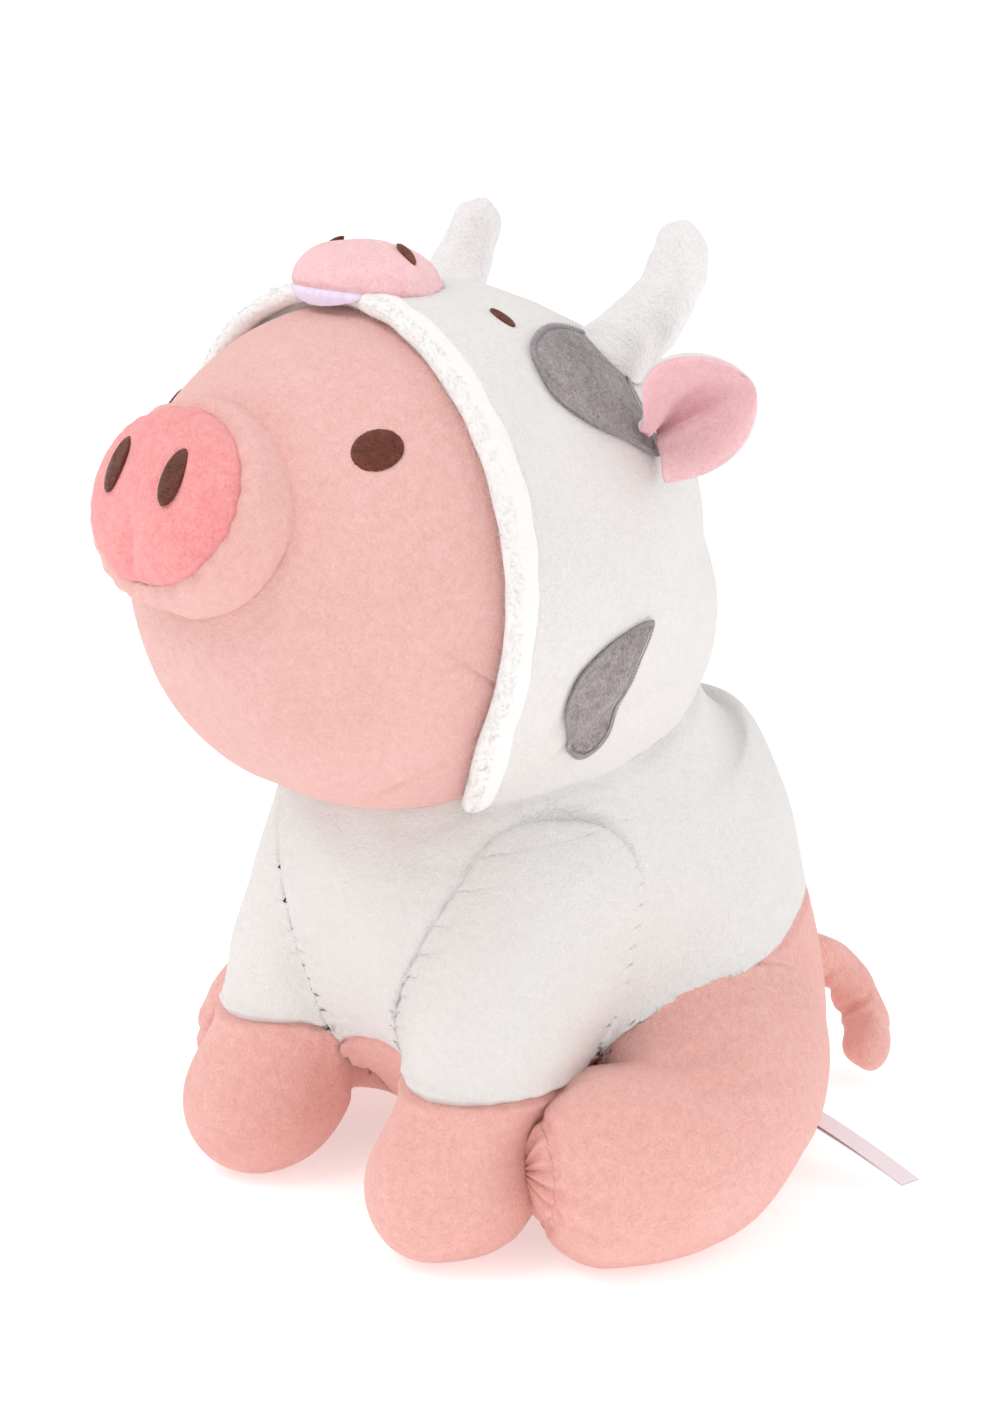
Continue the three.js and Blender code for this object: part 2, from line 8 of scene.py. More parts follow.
import bpy
import numpy as np
from mathutils import Matrix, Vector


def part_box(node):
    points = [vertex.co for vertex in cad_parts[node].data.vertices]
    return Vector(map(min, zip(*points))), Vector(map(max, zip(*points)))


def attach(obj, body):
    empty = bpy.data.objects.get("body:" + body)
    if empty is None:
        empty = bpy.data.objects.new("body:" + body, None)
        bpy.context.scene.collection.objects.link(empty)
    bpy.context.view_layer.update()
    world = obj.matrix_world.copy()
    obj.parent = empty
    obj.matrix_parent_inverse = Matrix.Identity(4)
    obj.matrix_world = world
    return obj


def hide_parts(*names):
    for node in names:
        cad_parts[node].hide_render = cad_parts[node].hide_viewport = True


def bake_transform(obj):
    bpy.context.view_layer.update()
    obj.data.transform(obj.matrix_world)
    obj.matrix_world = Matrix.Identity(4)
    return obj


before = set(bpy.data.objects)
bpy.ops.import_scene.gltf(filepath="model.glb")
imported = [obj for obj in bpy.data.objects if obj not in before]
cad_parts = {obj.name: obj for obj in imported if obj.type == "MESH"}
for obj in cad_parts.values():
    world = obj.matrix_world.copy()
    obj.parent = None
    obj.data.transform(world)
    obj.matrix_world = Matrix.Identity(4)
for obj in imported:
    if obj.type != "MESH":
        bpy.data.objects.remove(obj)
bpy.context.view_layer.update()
scene = bpy.context.scene

# %% [markdown]
# ## The maker's frame
# All forms are worked out in millimetres. There, y is 0 at the middle of the head and z is 0 on the
# floor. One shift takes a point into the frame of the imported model, in metres.

# %% Units and the shift into the model's frame
MM = 0.001
HEAD_FRONT = 76.0  # half sizes of the head, a ball drawn out to the back
HEAD_BACK = 101.0
HEAD_WIDE = 77.0
HEAD_TOP = 75.5
HEAD_CHIN = 78.5
HEAD = np.array([0.0, 0.0, 208.5])
SHIFT = np.array([0.0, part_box("head_cover")[0][1] / MM + HEAD_FRONT, 0.0])
print("shift:", SHIFT)


def placed(points):
    """A point of the maker's frame in the model's frame: add the shift, then to metres."""
    return (np.asarray(points, float) + SHIFT) * MM


# %% [markdown]
# ## Camera, floor and light
# The photograph looks down at the toy's left front. The camera stands about a metre away with a
# long lens. The floor and the world are almost white, and two large soft lights leave only faint
# shadows, as in a studio picture with a white ground.

# %% Camera
CAMERA_RIGHT = (0.6547, 0.7559, 0.0)
CAMERA_UP = (-0.1918, 0.1661, 0.9673)
CAMERA_BACK = (0.7311, -0.6333, 0.2538)
CAMERA_AT = (0.7317, -0.6413, 0.4035)

camera_data = bpy.data.cameras.new("camera")
camera_data.sensor_fit = "VERTICAL"
camera_data.sensor_height = 36.0
camera_data.lens = 80.56
camera = bpy.data.objects.new("camera", camera_data)
scene.collection.objects.link(camera)
camera.matrix_world = Matrix([*zip(CAMERA_RIGHT, CAMERA_UP, CAMERA_BACK, CAMERA_AT), (0, 0, 0, 1)])
scene.camera = camera


# %% Floor, world and lights
def principled(name, colour, **settings):
    """A new material with one Principled shader, its plain values set on the shader itself."""
    material = bpy.data.materials.new(name)
    material.use_nodes = True
    shader = material.node_tree.nodes["Principled BSDF"]
    shader.inputs["Base Color"].default_value = (*colour, 1)
    for key, value in settings.items():
        shader.inputs[key.replace("_", " ").title()].default_value = value
    return material, shader


def srgb(red, green, blue):
    """A colour given as 0 to 255 in linear light."""
    share = np.array([red, green, blue]) / 255
    linear = np.where(share < 0.04045, share / 12.92, ((share + 0.055) / 1.055) ** 2.4)
    return tuple(float(x) for x in linear)


floor_mesh = bpy.data.meshes.new("floor")
REACH = 6.0  # metres from the middle to the floor's edge
FLOOR_GLOW = 0.42  # keeps the floor as white as the photograph's ground
WORLD_AS_LIGHT, WORLD_SEEN = 0.85, 1.08
floor_mesh.from_pydata(
    [(-REACH, -REACH, 0), (REACH, -REACH, 0), (REACH, REACH, 0), (-REACH, REACH, 0)], [], [(0, 1, 2, 3)]
)
floor = bpy.data.objects.new("floor", floor_mesh)
scene.collection.objects.link(floor)
floor_material, floor_shader = principled("studio_floor", srgb(235, 235, 235), roughness=0.9)
floor_shader.inputs["Emission Color"].default_value = (1, 1, 1, 1)
floor_shader.inputs["Emission Strength"].default_value = FLOOR_GLOW
floor_mesh.materials.append(floor_material)

world = bpy.data.worlds.new("studio")
world.use_nodes = True
world.node_tree.nodes["Background"].inputs["Color"].default_value = (1, 1, 1, 1)
seen = world.node_tree.nodes.new("ShaderNodeLightPath").outputs["Is Camera Ray"]
strength = world.node_tree.nodes.new("ShaderNodeMix")  # white for the eye, dimmer as a light
strength.inputs["A"].default_value = WORLD_AS_LIGHT
strength.inputs["B"].default_value = WORLD_SEEN
world.node_tree.links.new(seen, strength.inputs["Factor"])
world.node_tree.links.new(strength.outputs["Result"], world.node_tree.nodes["Background"].inputs["Strength"])
scene.world = world
scene.view_settings.view_transform = "Standard"


def soft_light(name, place, aim, size, power):
    """A large square lamp at a place, turned towards an aim."""
    data = bpy.data.lights.new(name, "AREA")
    data.shape = "SQUARE"
    data.size = size
    data.energy = power
    lamp = bpy.data.objects.new(name, data)
    scene.collection.objects.link(lamp)
    way = Matrix.Translation(place).to_translation() - Matrix.Translation(aim).to_translation()
    lamp.matrix_world = Matrix.Translation(place) @ way.to_track_quat("Z", "Y").to_matrix().to_4x4()


soft_light("key", (-0.35, -1.1, 1.8), (0, 0, 0.15), 1.0, 12)
soft_light("fill", (1.3, 0.9, 0.7), (0, 0, 0.15), 1.2, 5)
print("camera, floor and lights are set")

# %% [markdown]
# ## Plush, ribbon and thread
# Short-pile plush shows three things: a fine grain of fibre ends, soft light and dark patches where
# the pile was stroked another way, and a pale sheen where it is seen from the side. The grain and
# the patches come from one node group, so that every cover shares the same cloth. The sheen is the
# shader's own.


# %% Node group for the nap of the cloth
def new_group(name, inputs, outputs):
    """An empty shader group with named sockets, and its two end nodes."""
    group = bpy.data.node_groups.new(name, "ShaderNodeTree")
    for socket, value in inputs.items():
        made = group.interface.new_socket(socket, in_out="INPUT", socket_type="NodeSocketFloat")
        made.default_value = value
    for socket, kind in outputs.items():
        group.interface.new_socket(socket, in_out="OUTPUT", socket_type=kind)
    return group, group.nodes.new("NodeGroupInput"), group.nodes.new("NodeGroupOutput")


def noise_of(tree, coordinates, scale, detail, roughness=0.5):
    """A noise texture on given coordinates; the scale is a number or a socket."""
    noise = tree.nodes.new("ShaderNodeTexNoise")
    noise.inputs["Detail"].default_value = detail
    noise.inputs["Roughness"].default_value = roughness
    tree.links.new(coordinates, noise.inputs["Vector"])
    if isinstance(scale, (int, float)):
        noise.inputs["Scale"].default_value = scale
    else:
        tree.links.new(scale, noise.inputs["Scale"])
    return noise.outputs["Fac"]


def maths(tree, kind, first, second, clamp=False):
    """One Math node; each operand is a number or a socket."""
    node = tree.nodes.new("ShaderNodeMath")
    node.operation = kind
    node.use_clamp = clamp
    for slot, value in zip(node.inputs, (first, second)):
        if isinstance(value, (int, float)):
            slot.default_value = value
        else:
            tree.links.new(value, slot)
    return node.outputs[0]


nap, nap_in, nap_out = new_group(
    "nap_of_the_cloth",
    {"Grain": 1100.0, "Patch": 26.0},
    {"Height": "NodeSocketFloat", "Shade": "NodeSocketFloat"},
)
at = nap.nodes.new("ShaderNodeTexCoord").outputs["Object"]
fine = noise_of(nap, at, nap_in.outputs["Grain"], 3, 0.65)
curls = noise_of(nap, at, maths(nap, "MULTIPLY", nap_in.outputs["Grain"], 0.28), 2, 0.5)
patches = noise_of(nap, at, nap_in.outputs["Patch"], 3, 0.55)
height = maths(nap, "ADD", maths(nap, "MULTIPLY", fine, 0.7), maths(nap, "MULTIPLY", curls, 0.5))
nap.links.new(height, nap_out.inputs["Height"])
grainy = maths(nap, "ADD", maths(nap, "MULTIPLY", patches, 0.7), maths(nap, "MULTIPLY", fine, 1.8))
shade = maths(nap, "SUBTRACT", maths(nap, "ADD", grainy, maths(nap, "MULTIPLY", curls, 0.9)), 1.2, clamp=True)
nap.links.new(shade, nap_out.inputs["Shade"])


# %% Plush, thread and ribbon
def plush(name, light, dark, grain=1300.0, patch=26.0, bump=1.0, sheen=0.25, deep=0.0009):
    """Pile cloth: the colour wanders from light to dark with the nap, whose height bumps it. Both
    colours are given as 0 to 255."""
    light, dark = srgb(*light), srgb(*dark)
    material, shader = principled(
        name, light, roughness=0.92, sheen_weight=sheen, sheen_roughness=0.55
    )
    shader.inputs["Specular IOR Level"].default_value = 0.25
    tree = material.node_tree
    group = tree.nodes.new("ShaderNodeGroup")
    group.node_tree = nap
    group.inputs["Grain"].default_value = grain
    group.inputs["Patch"].default_value = patch
    mix = tree.nodes.new("ShaderNodeMix")
    mix.data_type = "RGBA"
    mix.inputs["A"].default_value = (*dark, 1)
    mix.inputs["B"].default_value = (*light, 1)
    tree.links.new(group.outputs["Shade"], mix.inputs["Factor"])
    tree.links.new(mix.outputs["Result"], shader.inputs["Base Color"])
    relief = tree.nodes.new("ShaderNodeBump")
    relief.inputs["Strength"].default_value = bump
    relief.inputs["Distance"].default_value = deep
    tree.links.new(group.outputs["Height"], relief.inputs["Height"])
    tree.links.new(relief.outputs["Normal"], shader.inputs["Normal"])
    return material


skin_plush = plush("skin_plush", (243, 197, 190), (231, 173, 165))
paw_plush = plush("paw_plush", (245, 195, 186), (231, 163, 153))
snout_plush = plush("snout_plush", (249, 176, 173), (240, 136, 139))
white_plush = plush("white_plush", (236, 232, 230), (227, 223, 220))
horn_plush = plush("horn_plush", (243, 239, 238), (232, 227, 227), grain=900.0, bump=1.3)
# The rim is the hood's white plush painted a little lighter: painted light that offsets the shade between its
# tufts.
rim_plush_painted_light = plush("rim_plush_painted_light", (243, 240, 238), (235, 232, 230), grain=800.0, bump=0.35)
pad_plush = plush("pad_plush", (250, 211, 213), (241, 180, 186))
grey_plush = plush("grey_plush", (182, 170, 170), (110, 101, 103), grain=1100.0, bump=1.3)
lavender_cloth = plush("lavender_cloth", (240, 228, 246), (224, 210, 240), grain=2200.0, bump=0.4)
ribbon_cloth = plush(
    "ribbon_cloth", (246, 234, 237), (236, 221, 226), grain=2600.0, bump=0.3, sheen=0.1
)
brown_thread = plush("brown_thread", (126, 62, 42), (58, 24, 14), grain=1500.0, bump=0.5, sheen=0.1)
brown_thread.node_tree.nodes["Principled BSDF"].inputs["Roughness"].default_value = 0.38
grey_thread = plush("grey_thread", (190, 184, 186), (132, 126, 129), grain=1800.0, bump=0.4)
fibre_fill = plush("fibre_fill", (248, 248, 245), (232, 232, 229), grain=500.0, bump=1.0)
print("materials:", len(bpy.data.materials))

# %% [markdown]
# ## Forms on a grid
# A stuffed limb follows a smooth line through a few points, and its half sizes swell and taper with
# them. The head and the hood are balls whose half sizes differ to the front, back, top and bottom.
# Both are functions of two numbers, so a whole skin is one array of points.


# %% Smooth line and limb
def smooth(stations, t):
    """Values at t from 0 to 1 along a centripetal Catmull-Rom line: a cubic piece between each two
    stations, whose end slopes come from the neighbours, weighed by the root of the distances."""
    p = np.asarray(stations, float)
    p = np.vstack([2 * p[0] - p[1], p, 2 * p[-1] - p[-2]])
    count = len(stations) - 1
    s = np.clip(np.asarray(t, float) * count, 0, count - 1e-9)
    k = s.astype(int)
    w = (s - k)[..., None]
    a, b, c, d = p[k], p[k + 1], p[k + 2], p[k + 3]
    gap_b = np.sqrt(np.linalg.norm(c - b, axis=-1, keepdims=True))
    gap_b = np.where(gap_b < 1e-4, 1, gap_b)
    gap_a = np.sqrt(np.linalg.norm(b - a, axis=-1, keepdims=True))
    gap_a = np.where(gap_a < 1e-4, gap_b, gap_a)
    gap_c = np.sqrt(np.linalg.norm(d - c, axis=-1, keepdims=True))
    gap_c = np.where(gap_c < 1e-4, gap_b, gap_c)
    slope_b = ((b - a) / gap_a - (c - a) / (gap_a + gap_b) + (c - b) / gap_b) * gap_b
    slope_c = ((c - b) / gap_b - (d - b) / (gap_b + gap_c) + (d - c) / gap_c) * gap_b
    cubic = 2 * b - 2 * c + slope_b + slope_c
    square = 3 * c - 3 * b - 2 * slope_b - slope_c
    return b + w * (slope_b + w * (square + w * cubic))


def unit(vectors):
    """Vectors at length 1."""
    return vectors / np.maximum(np.linalg.norm(vectors, axis=-1, keepdims=True), 1e-12)


def bell(x, wide):
    """A bell curve, exp(-(x/wide)²)."""
    return np.exp(-((x / wide) ** 2))


def around(u, count):
    """A grid of values along and angles around, with a count of columns."""
    return np.meshgrid(u, np.arange(count) / count * 2 * np.pi, indexing="ij")


def limb_frame(limb, u):
    """Middle, the three directions and the half sizes of a limb at arc shares u."""
    t = np.linspace(0, 1, 401)
    line = smooth(limb["line"], t)
    run = np.concatenate([[0], np.cumsum(np.linalg.norm(np.diff(line, axis=0), axis=1))])
    t = np.interp(u, run / run[-1], t)
    after, before = (smooth(limb["line"], np.clip(t + step, 0, 1)) for step in (1e-3, -1e-3))
    forward = unit(after - before)
    sideways = np.array([1.0, 0, 0])
    across = unit(sideways - forward * forward[..., :1])
    upward = np.cross(forward, across)
    sizes = smooth(np.column_stack([limb["wide"], limb["deep"]]), t)
    return smooth(limb["line"], t), forward, across, upward, sizes, run[-1]


def limb_skin(limb, u, angle, grow=0.0):
    """Points of a limb's skin: the middle at share u, plus the half sizes times the cosine and sine
    of the angle. Towards both ends the sizes go down as a quarter circle."""
    middle, forward, across, upward, sizes, long = limb_frame(limb, u)
    full = long + 2 * grow
    ends = np.minimum(u * full / (limb["round"][0] + grow), (1 - u) * full / (limb["round"][1] + grow))
    taper = np.sqrt(np.maximum(1 - (1 - np.clip(ends, 0, 1)) ** 2, 0))
    wide = (sizes[..., 0] + grow) * taper * np.cos(angle)
    deep = (sizes[..., 1] + grow) * taper * np.sin(angle)
    shift = (u - 0.5) * 2 * grow
    return middle + forward * shift[..., None] + across * wide[..., None] + upward * deep[..., None]


def depth_in_limb(points, limb, grow=0.0, slices=44):
    """How deep points lie in a limb, below zero outside it: the most in any slice of it. Each slice
    is a flat egg, where the depth is a·(1 - a)/b, with a the length of the offset over the half
    sizes, and b that of the offset over their squares."""
    u = np.linspace(0.006, 0.994, slices)
    middle, forward, across, upward, sizes, long = limb_frame(limb, u)
    ends = np.minimum(u * long / limb["round"][0], (1 - u) * long / limb["round"][1])
    taper = np.sqrt(np.maximum(1 - (1 - np.clip(ends, 0, 1)) ** 2, 0.01))
    best = np.full(len(points), -1e9)
    for i in range(slices):
        wide, deep = sizes[i] * taper[i] + grow
        half = np.array([wide, deep, 0.3 * min(wide, deep) + 1.5 * long / slices])
        off = (points - middle[i]) @ np.stack([across[i], upward[i], forward[i]], 1) / half
        once = np.linalg.norm(off, axis=1)
        twice = np.linalg.norm(off / half, axis=1)
        best = np.maximum(best, once * (1 - once) / np.maximum(twice, 1e-9))
    return best


# %% Head and hood forms
HOOD_EASE = 1.2
HOOD_DRAPE = 36.0  # how much further the hood stands off at the nape


def head_half(way, grow, hood):
    """Half sizes of the head's ball, or of the hood's, towards directions."""
    ease = grow + np.zeros(way.shape[:-1])
    if hood:
        ease = ease + HOOD_EASE + HOOD_DRAPE * np.maximum(way[..., 1], 0) * np.maximum(-way[..., 2], 0)
    depth = np.where(way[..., 1] < 0, HEAD_FRONT, HEAD_BACK)
    tall = np.where(way[..., 2] < 0, HEAD_CHIN, HEAD_TOP)
    return np.stack([HEAD_WIDE + ease, depth + ease, tall + ease], -1)


def head_skin(way, grow=0.0, hood=False):
    """The ball's points: each unit direction times the half sizes there."""
    return HEAD + way * head_half(way, grow, hood)


def head_share(points, grow=0.0, hood=False):
    """Where points lie between the head's middle, 0, and its skin, 1."""
    off = points - HEAD
    way = unit(off / head_half(unit(off), 0.0, False))
    return np.linalg.norm(off / head_half(way, grow, hood), axis=-1)


def aim(side, up):
    """Unit direction from the head's middle: degrees round from the front to the left, and up."""
    side, up = np.radians(side), np.radians(up)
    return np.stack([np.cos(up) * np.sin(side), -np.cos(up) * np.cos(side), np.sin(up)], -1)


def on_head(way, grow=0.0, hood=False):
    """The skin's point in a true direction from the head's middle: the direction over its share."""
    return HEAD + way / head_share(HEAD + way, grow, hood)[..., None]


def depth_in_head(points, grow=0.0, hood=False):
    """How deep points lie in the head, from their share of the way out."""
    return (1 - head_share(points, grow, hood)) * HEAD_FRONT


# %% [markdown]
# ## Skins, swelling and pressing
# The next helpers turn a grid into a closed skin, swell it with Blender's cloth, refine it, and
# press things into it. Cloth is asked for a pressure from within and no gravity, and how far it may
# move is capped, so that a cover keeps its place and size.


# %% Grid to mesh
def skin_faces(rows, cols):
    """Faces of a closed skin: a fan at each pole and rows of quads that wrap round."""
    r, c = np.meshgrid(np.arange(rows - 1), np.arange(cols), indexing="ij")
    here = 1 + r * cols + c
    there = 1 + r * cols + (c + 1) % cols
    quads = np.stack([here, there, there + cols, here + cols], -1).reshape(-1, 4)
    c = np.arange(cols)
    n = (c + 1) % cols
    base = 1 + (rows - 1) * cols
    top = np.stack([0 * c, n + 1, c + 1], -1)
    end = np.stack([0 * c + base + cols, base + c, base + n], -1)
    return quads.tolist() + top.tolist() + end.tolist()


def inside_out(points, quads):
    """Whether the quads face inward: the volume that they enclose is then below zero."""
    a, b, c, d = (points[quads[:, i]] - points.mean(0) for i in range(4))
    return np.einsum("ij,ij->i", a, np.cross(b, c) + np.cross(c, d)).sum() < 0


def closed_skin(grid, first, last):
    """Points and outward faces of a skin through a grid, closed at a first and a last point."""
    rows, cols = grid.shape[:2]
    points = np.vstack([[first], grid.reshape(-1, 3), [last]])
    faces = skin_faces(rows, cols)
    turned = inside_out(points, np.array(faces[: (rows - 1) * cols]))
    return points, [face[::-1] for face in faces] if turned else faces


def new_object(name, points, faces):
    """An object from points in the maker's frame, placed and smooth."""
    mesh = bpy.data.meshes.new(name)
    mesh.from_pydata(placed(points).tolist(), [], faces if isinstance(faces, list) else faces.tolist())
    mesh.polygons.foreach_set("use_smooth", [True] * len(mesh.polygons))
    made = bpy.data.objects.new(name, mesh)
    scene.collection.objects.link(made)
    return made


def points_of(thing):
    """An object's points in the maker's frame."""
    flat = np.empty(len(thing.data.vertices) * 3)
    thing.data.vertices.foreach_get("co", flat)
    return flat.reshape(-1, 3) / MM - SHIFT


def settle(thing):
    """Bakes an object's modifiers into its mesh."""
    graph = bpy.context.evaluated_depsgraph_get()
    done = bpy.data.meshes.new_from_object(thing.evaluated_get(graph))
    thing.modifiers.clear()
    thing.data = done


PRESSURE = 4.0
SLACK = 0.03  # how much larger the cloth is cut than its form, as a share
FRAMES = 18


def swell(thing, cols, cap, hold=None):
    """Blows a closed skin up as cloth. Steps inward are dropped, the others are capped, in
    millimetres, and evened out over the grid. Points that are held stay where they are."""
    before = points_of(thing)
    cloth = thing.modifiers.new("cloth", "CLOTH")
    values = cloth.settings
    values.use_pressure = True
    values.uniform_pressure_force = PRESSURE
    values.effector_weights.gravity = 0
    values.quality = 4
    values.shrink_min = -SLACK
    values.bending_stiffness = 0.3
    if hold is not None:
        group = thing.vertex_groups.new(name="held")
        group.add([int(i) for i in np.flatnonzero(hold)], 1.0, "REPLACE")
        values.vertex_group_mass = "held"
    cloth.point_cache.frame_start = 1
    cloth.point_cache.frame_end = FRAMES
    for number in range(1, FRAMES + 1):
        scene.frame_set(number)
    settle(thing)
    scene.frame_set(1)
    outward = np.empty(len(before) * 3)
    thing.data.vertices.foreach_get("normal", outward)
    outward = outward.reshape(-1, 3)
    step = points_of(thing) - before
    step -= outward * np.minimum((step * outward).sum(1, keepdims=True), 0)
    long = np.linalg.norm(step, axis=1, keepdims=True)
    step *= cap * np.tanh(long / cap) / np.maximum(long, 1e-9)
    field = step[1:-1].reshape(-1, cols, 3)
    for _ in range(4):  # evens out single cells that buckled
        padded = np.concatenate([field[:1], field, field[-1:]])
        beside = np.roll(field, 1, 1) + np.roll(field, -1, 1)
        field = (padded[:-2] + padded[2:] + beside + 2 * field) / 6
    step[1:-1] = field.reshape(-1, 3)
    step[: 1 + 2 * cols] = step[1 + 2 * cols : 1 + 3 * cols].mean(0)  # the poles follow the third row
    step[-1 - 2 * cols :] = step[-1 - 3 * cols : -1 - 2 * cols].mean(0)
    if hold is not None:
        step[hold] = 0
    thing.data.vertices.foreach_set("co", placed(before + step).ravel())
    thing.data.update()


def refined(thing):
    """Subdivides an object twice and turns it into arrays: points, quads and the quads' parts."""
    finer = thing.modifiers.new("finer", "SUBSURF")
    finer.levels = finer.render_levels = 2
    settle(thing)
    points = points_of(thing)
    corners = np.empty(len(thing.data.loops), np.int32)
    thing.data.loops.foreach_get("vertex_index", corners)
    parts = np.empty(len(thing.data.polygons), np.int32)
    thing.data.polygons.foreach_get("material_index", parts)
    bpy.data.objects.remove(thing)
    return points, corners.reshape(-1, 4), parts


def soft_form(name, grid, first, last, cap, hold=None, part=None):
    """A swollen, refined skin as arrays. part numbers the grid's own quads."""
    points, faces = closed_skin(grid, first, last)
    thing = new_object(name + "_form", points, faces)
    if part is not None:
        count = grid.shape[1]
        ends = [np.full(count, part[0, 0]), np.full(count, part[-1, 0])]
        numbers = np.concatenate([part.reshape(-1), *ends])
        for _ in range(int(numbers.max()) + 1):
            thing.data.materials.append(None)
        thing.data.polygons.foreach_set("material_index", numbers.astype(np.int32))
    swell(thing, grid.shape[1], cap, hold)
    return refined(thing)


def normals_at(points, quads):
    """Outward unit normals at the points: the sum of the crossed diagonals of the quads there."""
    across = np.cross(points[quads[:, 2]] - points[quads[:, 0]], points[quads[:, 3]] - points[quads[:, 1]])
    total = np.zeros_like(points)
    for corner in range(4):
        for axis in range(3):
            total[:, axis] += np.bincount(quads[:, corner], across[:, axis], len(points))
    return unit(total)


# %% Pressing clear of a neighbour, rounding into it, and seams
def pressed_clear(points, way, depth, gap=0.4, steps=14):
    """Moves points that lie in a neighbour along a way until they are a gap clear of it."""
    out = points.copy()
    for _ in range(steps):
        out = out + way * np.maximum(depth(out) + gap, 0)[:, None]
    return out


def way_out(depth, at, off):
    """Unit directions in which the distance from a form grows fastest, with off the distance."""
    return unit(np.stack([-depth(at + 0.5 * axis) - off for axis in np.eye(3)], -1))


def merged(points, normals, depth, reach, under=0.0):
    """Rounds the corner where a skin meets a neighbour. Within reach of it the skin rises by
    reach/4·h², with h = 1 - distance/reach, between its own normal and the neighbour's. What lies
    inside the neighbour drops away under its skin, and the skin that runs under it lies a little lower."""
    off = -depth(points)
    which = np.flatnonzero(np.abs(off) < reach)
    at, off = points[which], off[which]
    slope = way_out(depth, at, off)
    h = 1 - np.abs(off) / reach
    share = np.where(off > 0, h / 2, 1 - h / 2)[:, None]
    between = (1 - share) * normals[which] + share * slope
    between /= np.maximum((between**2).sum(1, keepdims=True), 0.35)
    out = points.copy()
    out[which] += between * (reach / 4 * h**2)[:, None]
    out[which] -= slope * np.where(off < 1, 2.0 * (1 - np.exp((off - 1) / 2.2)), 0)[:, None]
    out[which] -= normals[which] * (under * h)[:, None]
    return out


def dense(path, step=0.4):
    """A polyline with points about a step apart, and how far along each lies."""
    path = np.asarray(path, float)
    run = np.concatenate([[0], np.cumsum(np.linalg.norm(np.diff(path, axis=0), axis=1))])
    at = np.linspace(0, run[-1], max(int(run[-1] / step), 2))
    return np.column_stack([np.interp(at, run, path[:, i]) for i in range(3)]), at


def near(points, line, reach):
    """Which points lie within reach of a dense line, how far off, and which of its points is next."""
    which = np.flatnonzero(np.all((points > line.min(0) - reach) & (points < line.max(0) + reach), axis=1))
    best, k = np.full(len(which), 1e9), np.zeros(len(which), int)
    for start in range(0, len(line), 60):
        gaps = ((points[which, None] - line[None, start : start + 60]) ** 2).sum(2)
        closer = gaps.min(1) < best
        k[closer] = gaps.argmin(1)[closer] + start
        best = np.minimum(best, gaps.min(1))
    keep = best < reach**2
    return which[keep], np.sqrt(best[keep]), k[keep]


def laid(path, points, normals):
    """A path laid onto a skin: each point drops along the normal of the skin's nearest point."""
    line = dense(path, 1.5)[0]
    for _ in range(2):
        low, high = line.min(0) - 12, line.max(0) + 12
        part = np.flatnonzero(np.all((points > low) & (points < high), axis=1))
        k = part[((line[:, None] - points[None, part]) ** 2).sum(2).argmin(1)]
        line = line - normals[k] * ((line - points[k]) * normals[k]).sum(1, keepdims=True)
    return dense(line)


def sewn(points, normals, path, deep=1.4, wide=1.2, lift=0.0, pucker=0.0, pitch=6.0, fade=0.0, draw=0.7):
    """Presses a seam or a crease along a path. The mesh is first drawn towards the path, so that it
    is fine enough there. The groove is deep·exp(-(d/wide)²), beside it the cloth lifts, and puckers
    cross it as a cosine of the way along. fade is the share of the path over which it starts and
    ends softly."""
    line, run = laid(path, points, normals)
    reach = wide * 4 + 3
    which, off, k = near(points, line, reach)
    long = run[-1]
    share = np.minimum(run[k], long - run[k]) / max(long * fade, 1e-6)
    strength = np.clip(share, 0, 1) ** 0.7 if fade else np.ones(len(k))
    squeeze = 1 - draw * strength * (1 - (off / reach) ** 2)
    out = points.copy()
    out[which] = line[k] + (points[which] - line[k]) * squeeze[:, None]
    off = off * squeeze
    groove = deep * bell(off, wide)
    beside = lift * bell(off - 2.2 * wide, 1.2 * wide)
    wander = np.cos(2 * np.pi * run[k] / pitch + 1.7 * np.sin(run[k] / (1.9 * pitch)))
    crossing = pucker * wander * bell(off, 3 * wide)
    out[which] += normals[which] * ((beside - groove - crossing) * strength)[:, None]
    return out


def lumps(points, size, seed, waves=20):
    """Slow random swell between about -1 and 1: a sum of sine waves of random directions."""
    random = np.random.default_rng(seed)
    way = unit(random.normal(size=(waves, 3)))
    way = way * (2 * np.pi / (size * random.uniform(0.7, 1.6, waves)))[:, None]
    return np.sin(points @ way.T + random.uniform(0, 2 * np.pi, waves)).sum(1) / np.sqrt(waves)


def lumpy(points, normals, tall, size, seed):
    """A skin with slow lumps: how tall and how long they are, in millimetres."""
    return points + normals * (tall * lumps(points, size, seed))[:, None]


# %% Finished pieces
def cut_out(points, faces, keep):
    """Some of the faces, with their points renumbered."""
    faces = faces[keep]
    used = np.unique(faces)
    number = np.full(len(points), -1)
    number[used] = np.arange(len(used))
    return points[used], number[faces]


def open_edges(quads, count):
    """The edges that only one quad has, as pairs of numbers of the count of points."""
    edges = np.vstack([quads[:, [i, (i + 1) % 4]] for i in range(4)])
    code = edges[:, 0] * count + edges[:, 1]
    back = edges[:, 1] * count + edges[:, 0]
    return edges[~np.isin(code, back)]


def capped(points, quads, inward):
    """Closes the open edge of a cut skin with a fan to its middle, moved inward."""
    edges = open_edges(quads, len(points))
    middle = points[np.unique(edges)].mean(0) + inward
    fan = [[int(b), int(a), len(points)] for a, b in edges]
    return np.vstack([points, middle]), quads.tolist() + fan


def walled(points, quads, normals, thick=1.8):
    """A cloth wall: the outer skin, a copy moved in along the given normals, and a strip between
    the two along each open edge. Two covers cut from one skin share that strip's place."""
    a, b = open_edges(quads, len(points)).T
    strip = np.stack([b, a, a + len(points), b + len(points)], -1)
    quads = np.vstack([quads, quads[:, ::-1] + len(points), strip])
    return np.vstack([points, points - normals * thick]), quads


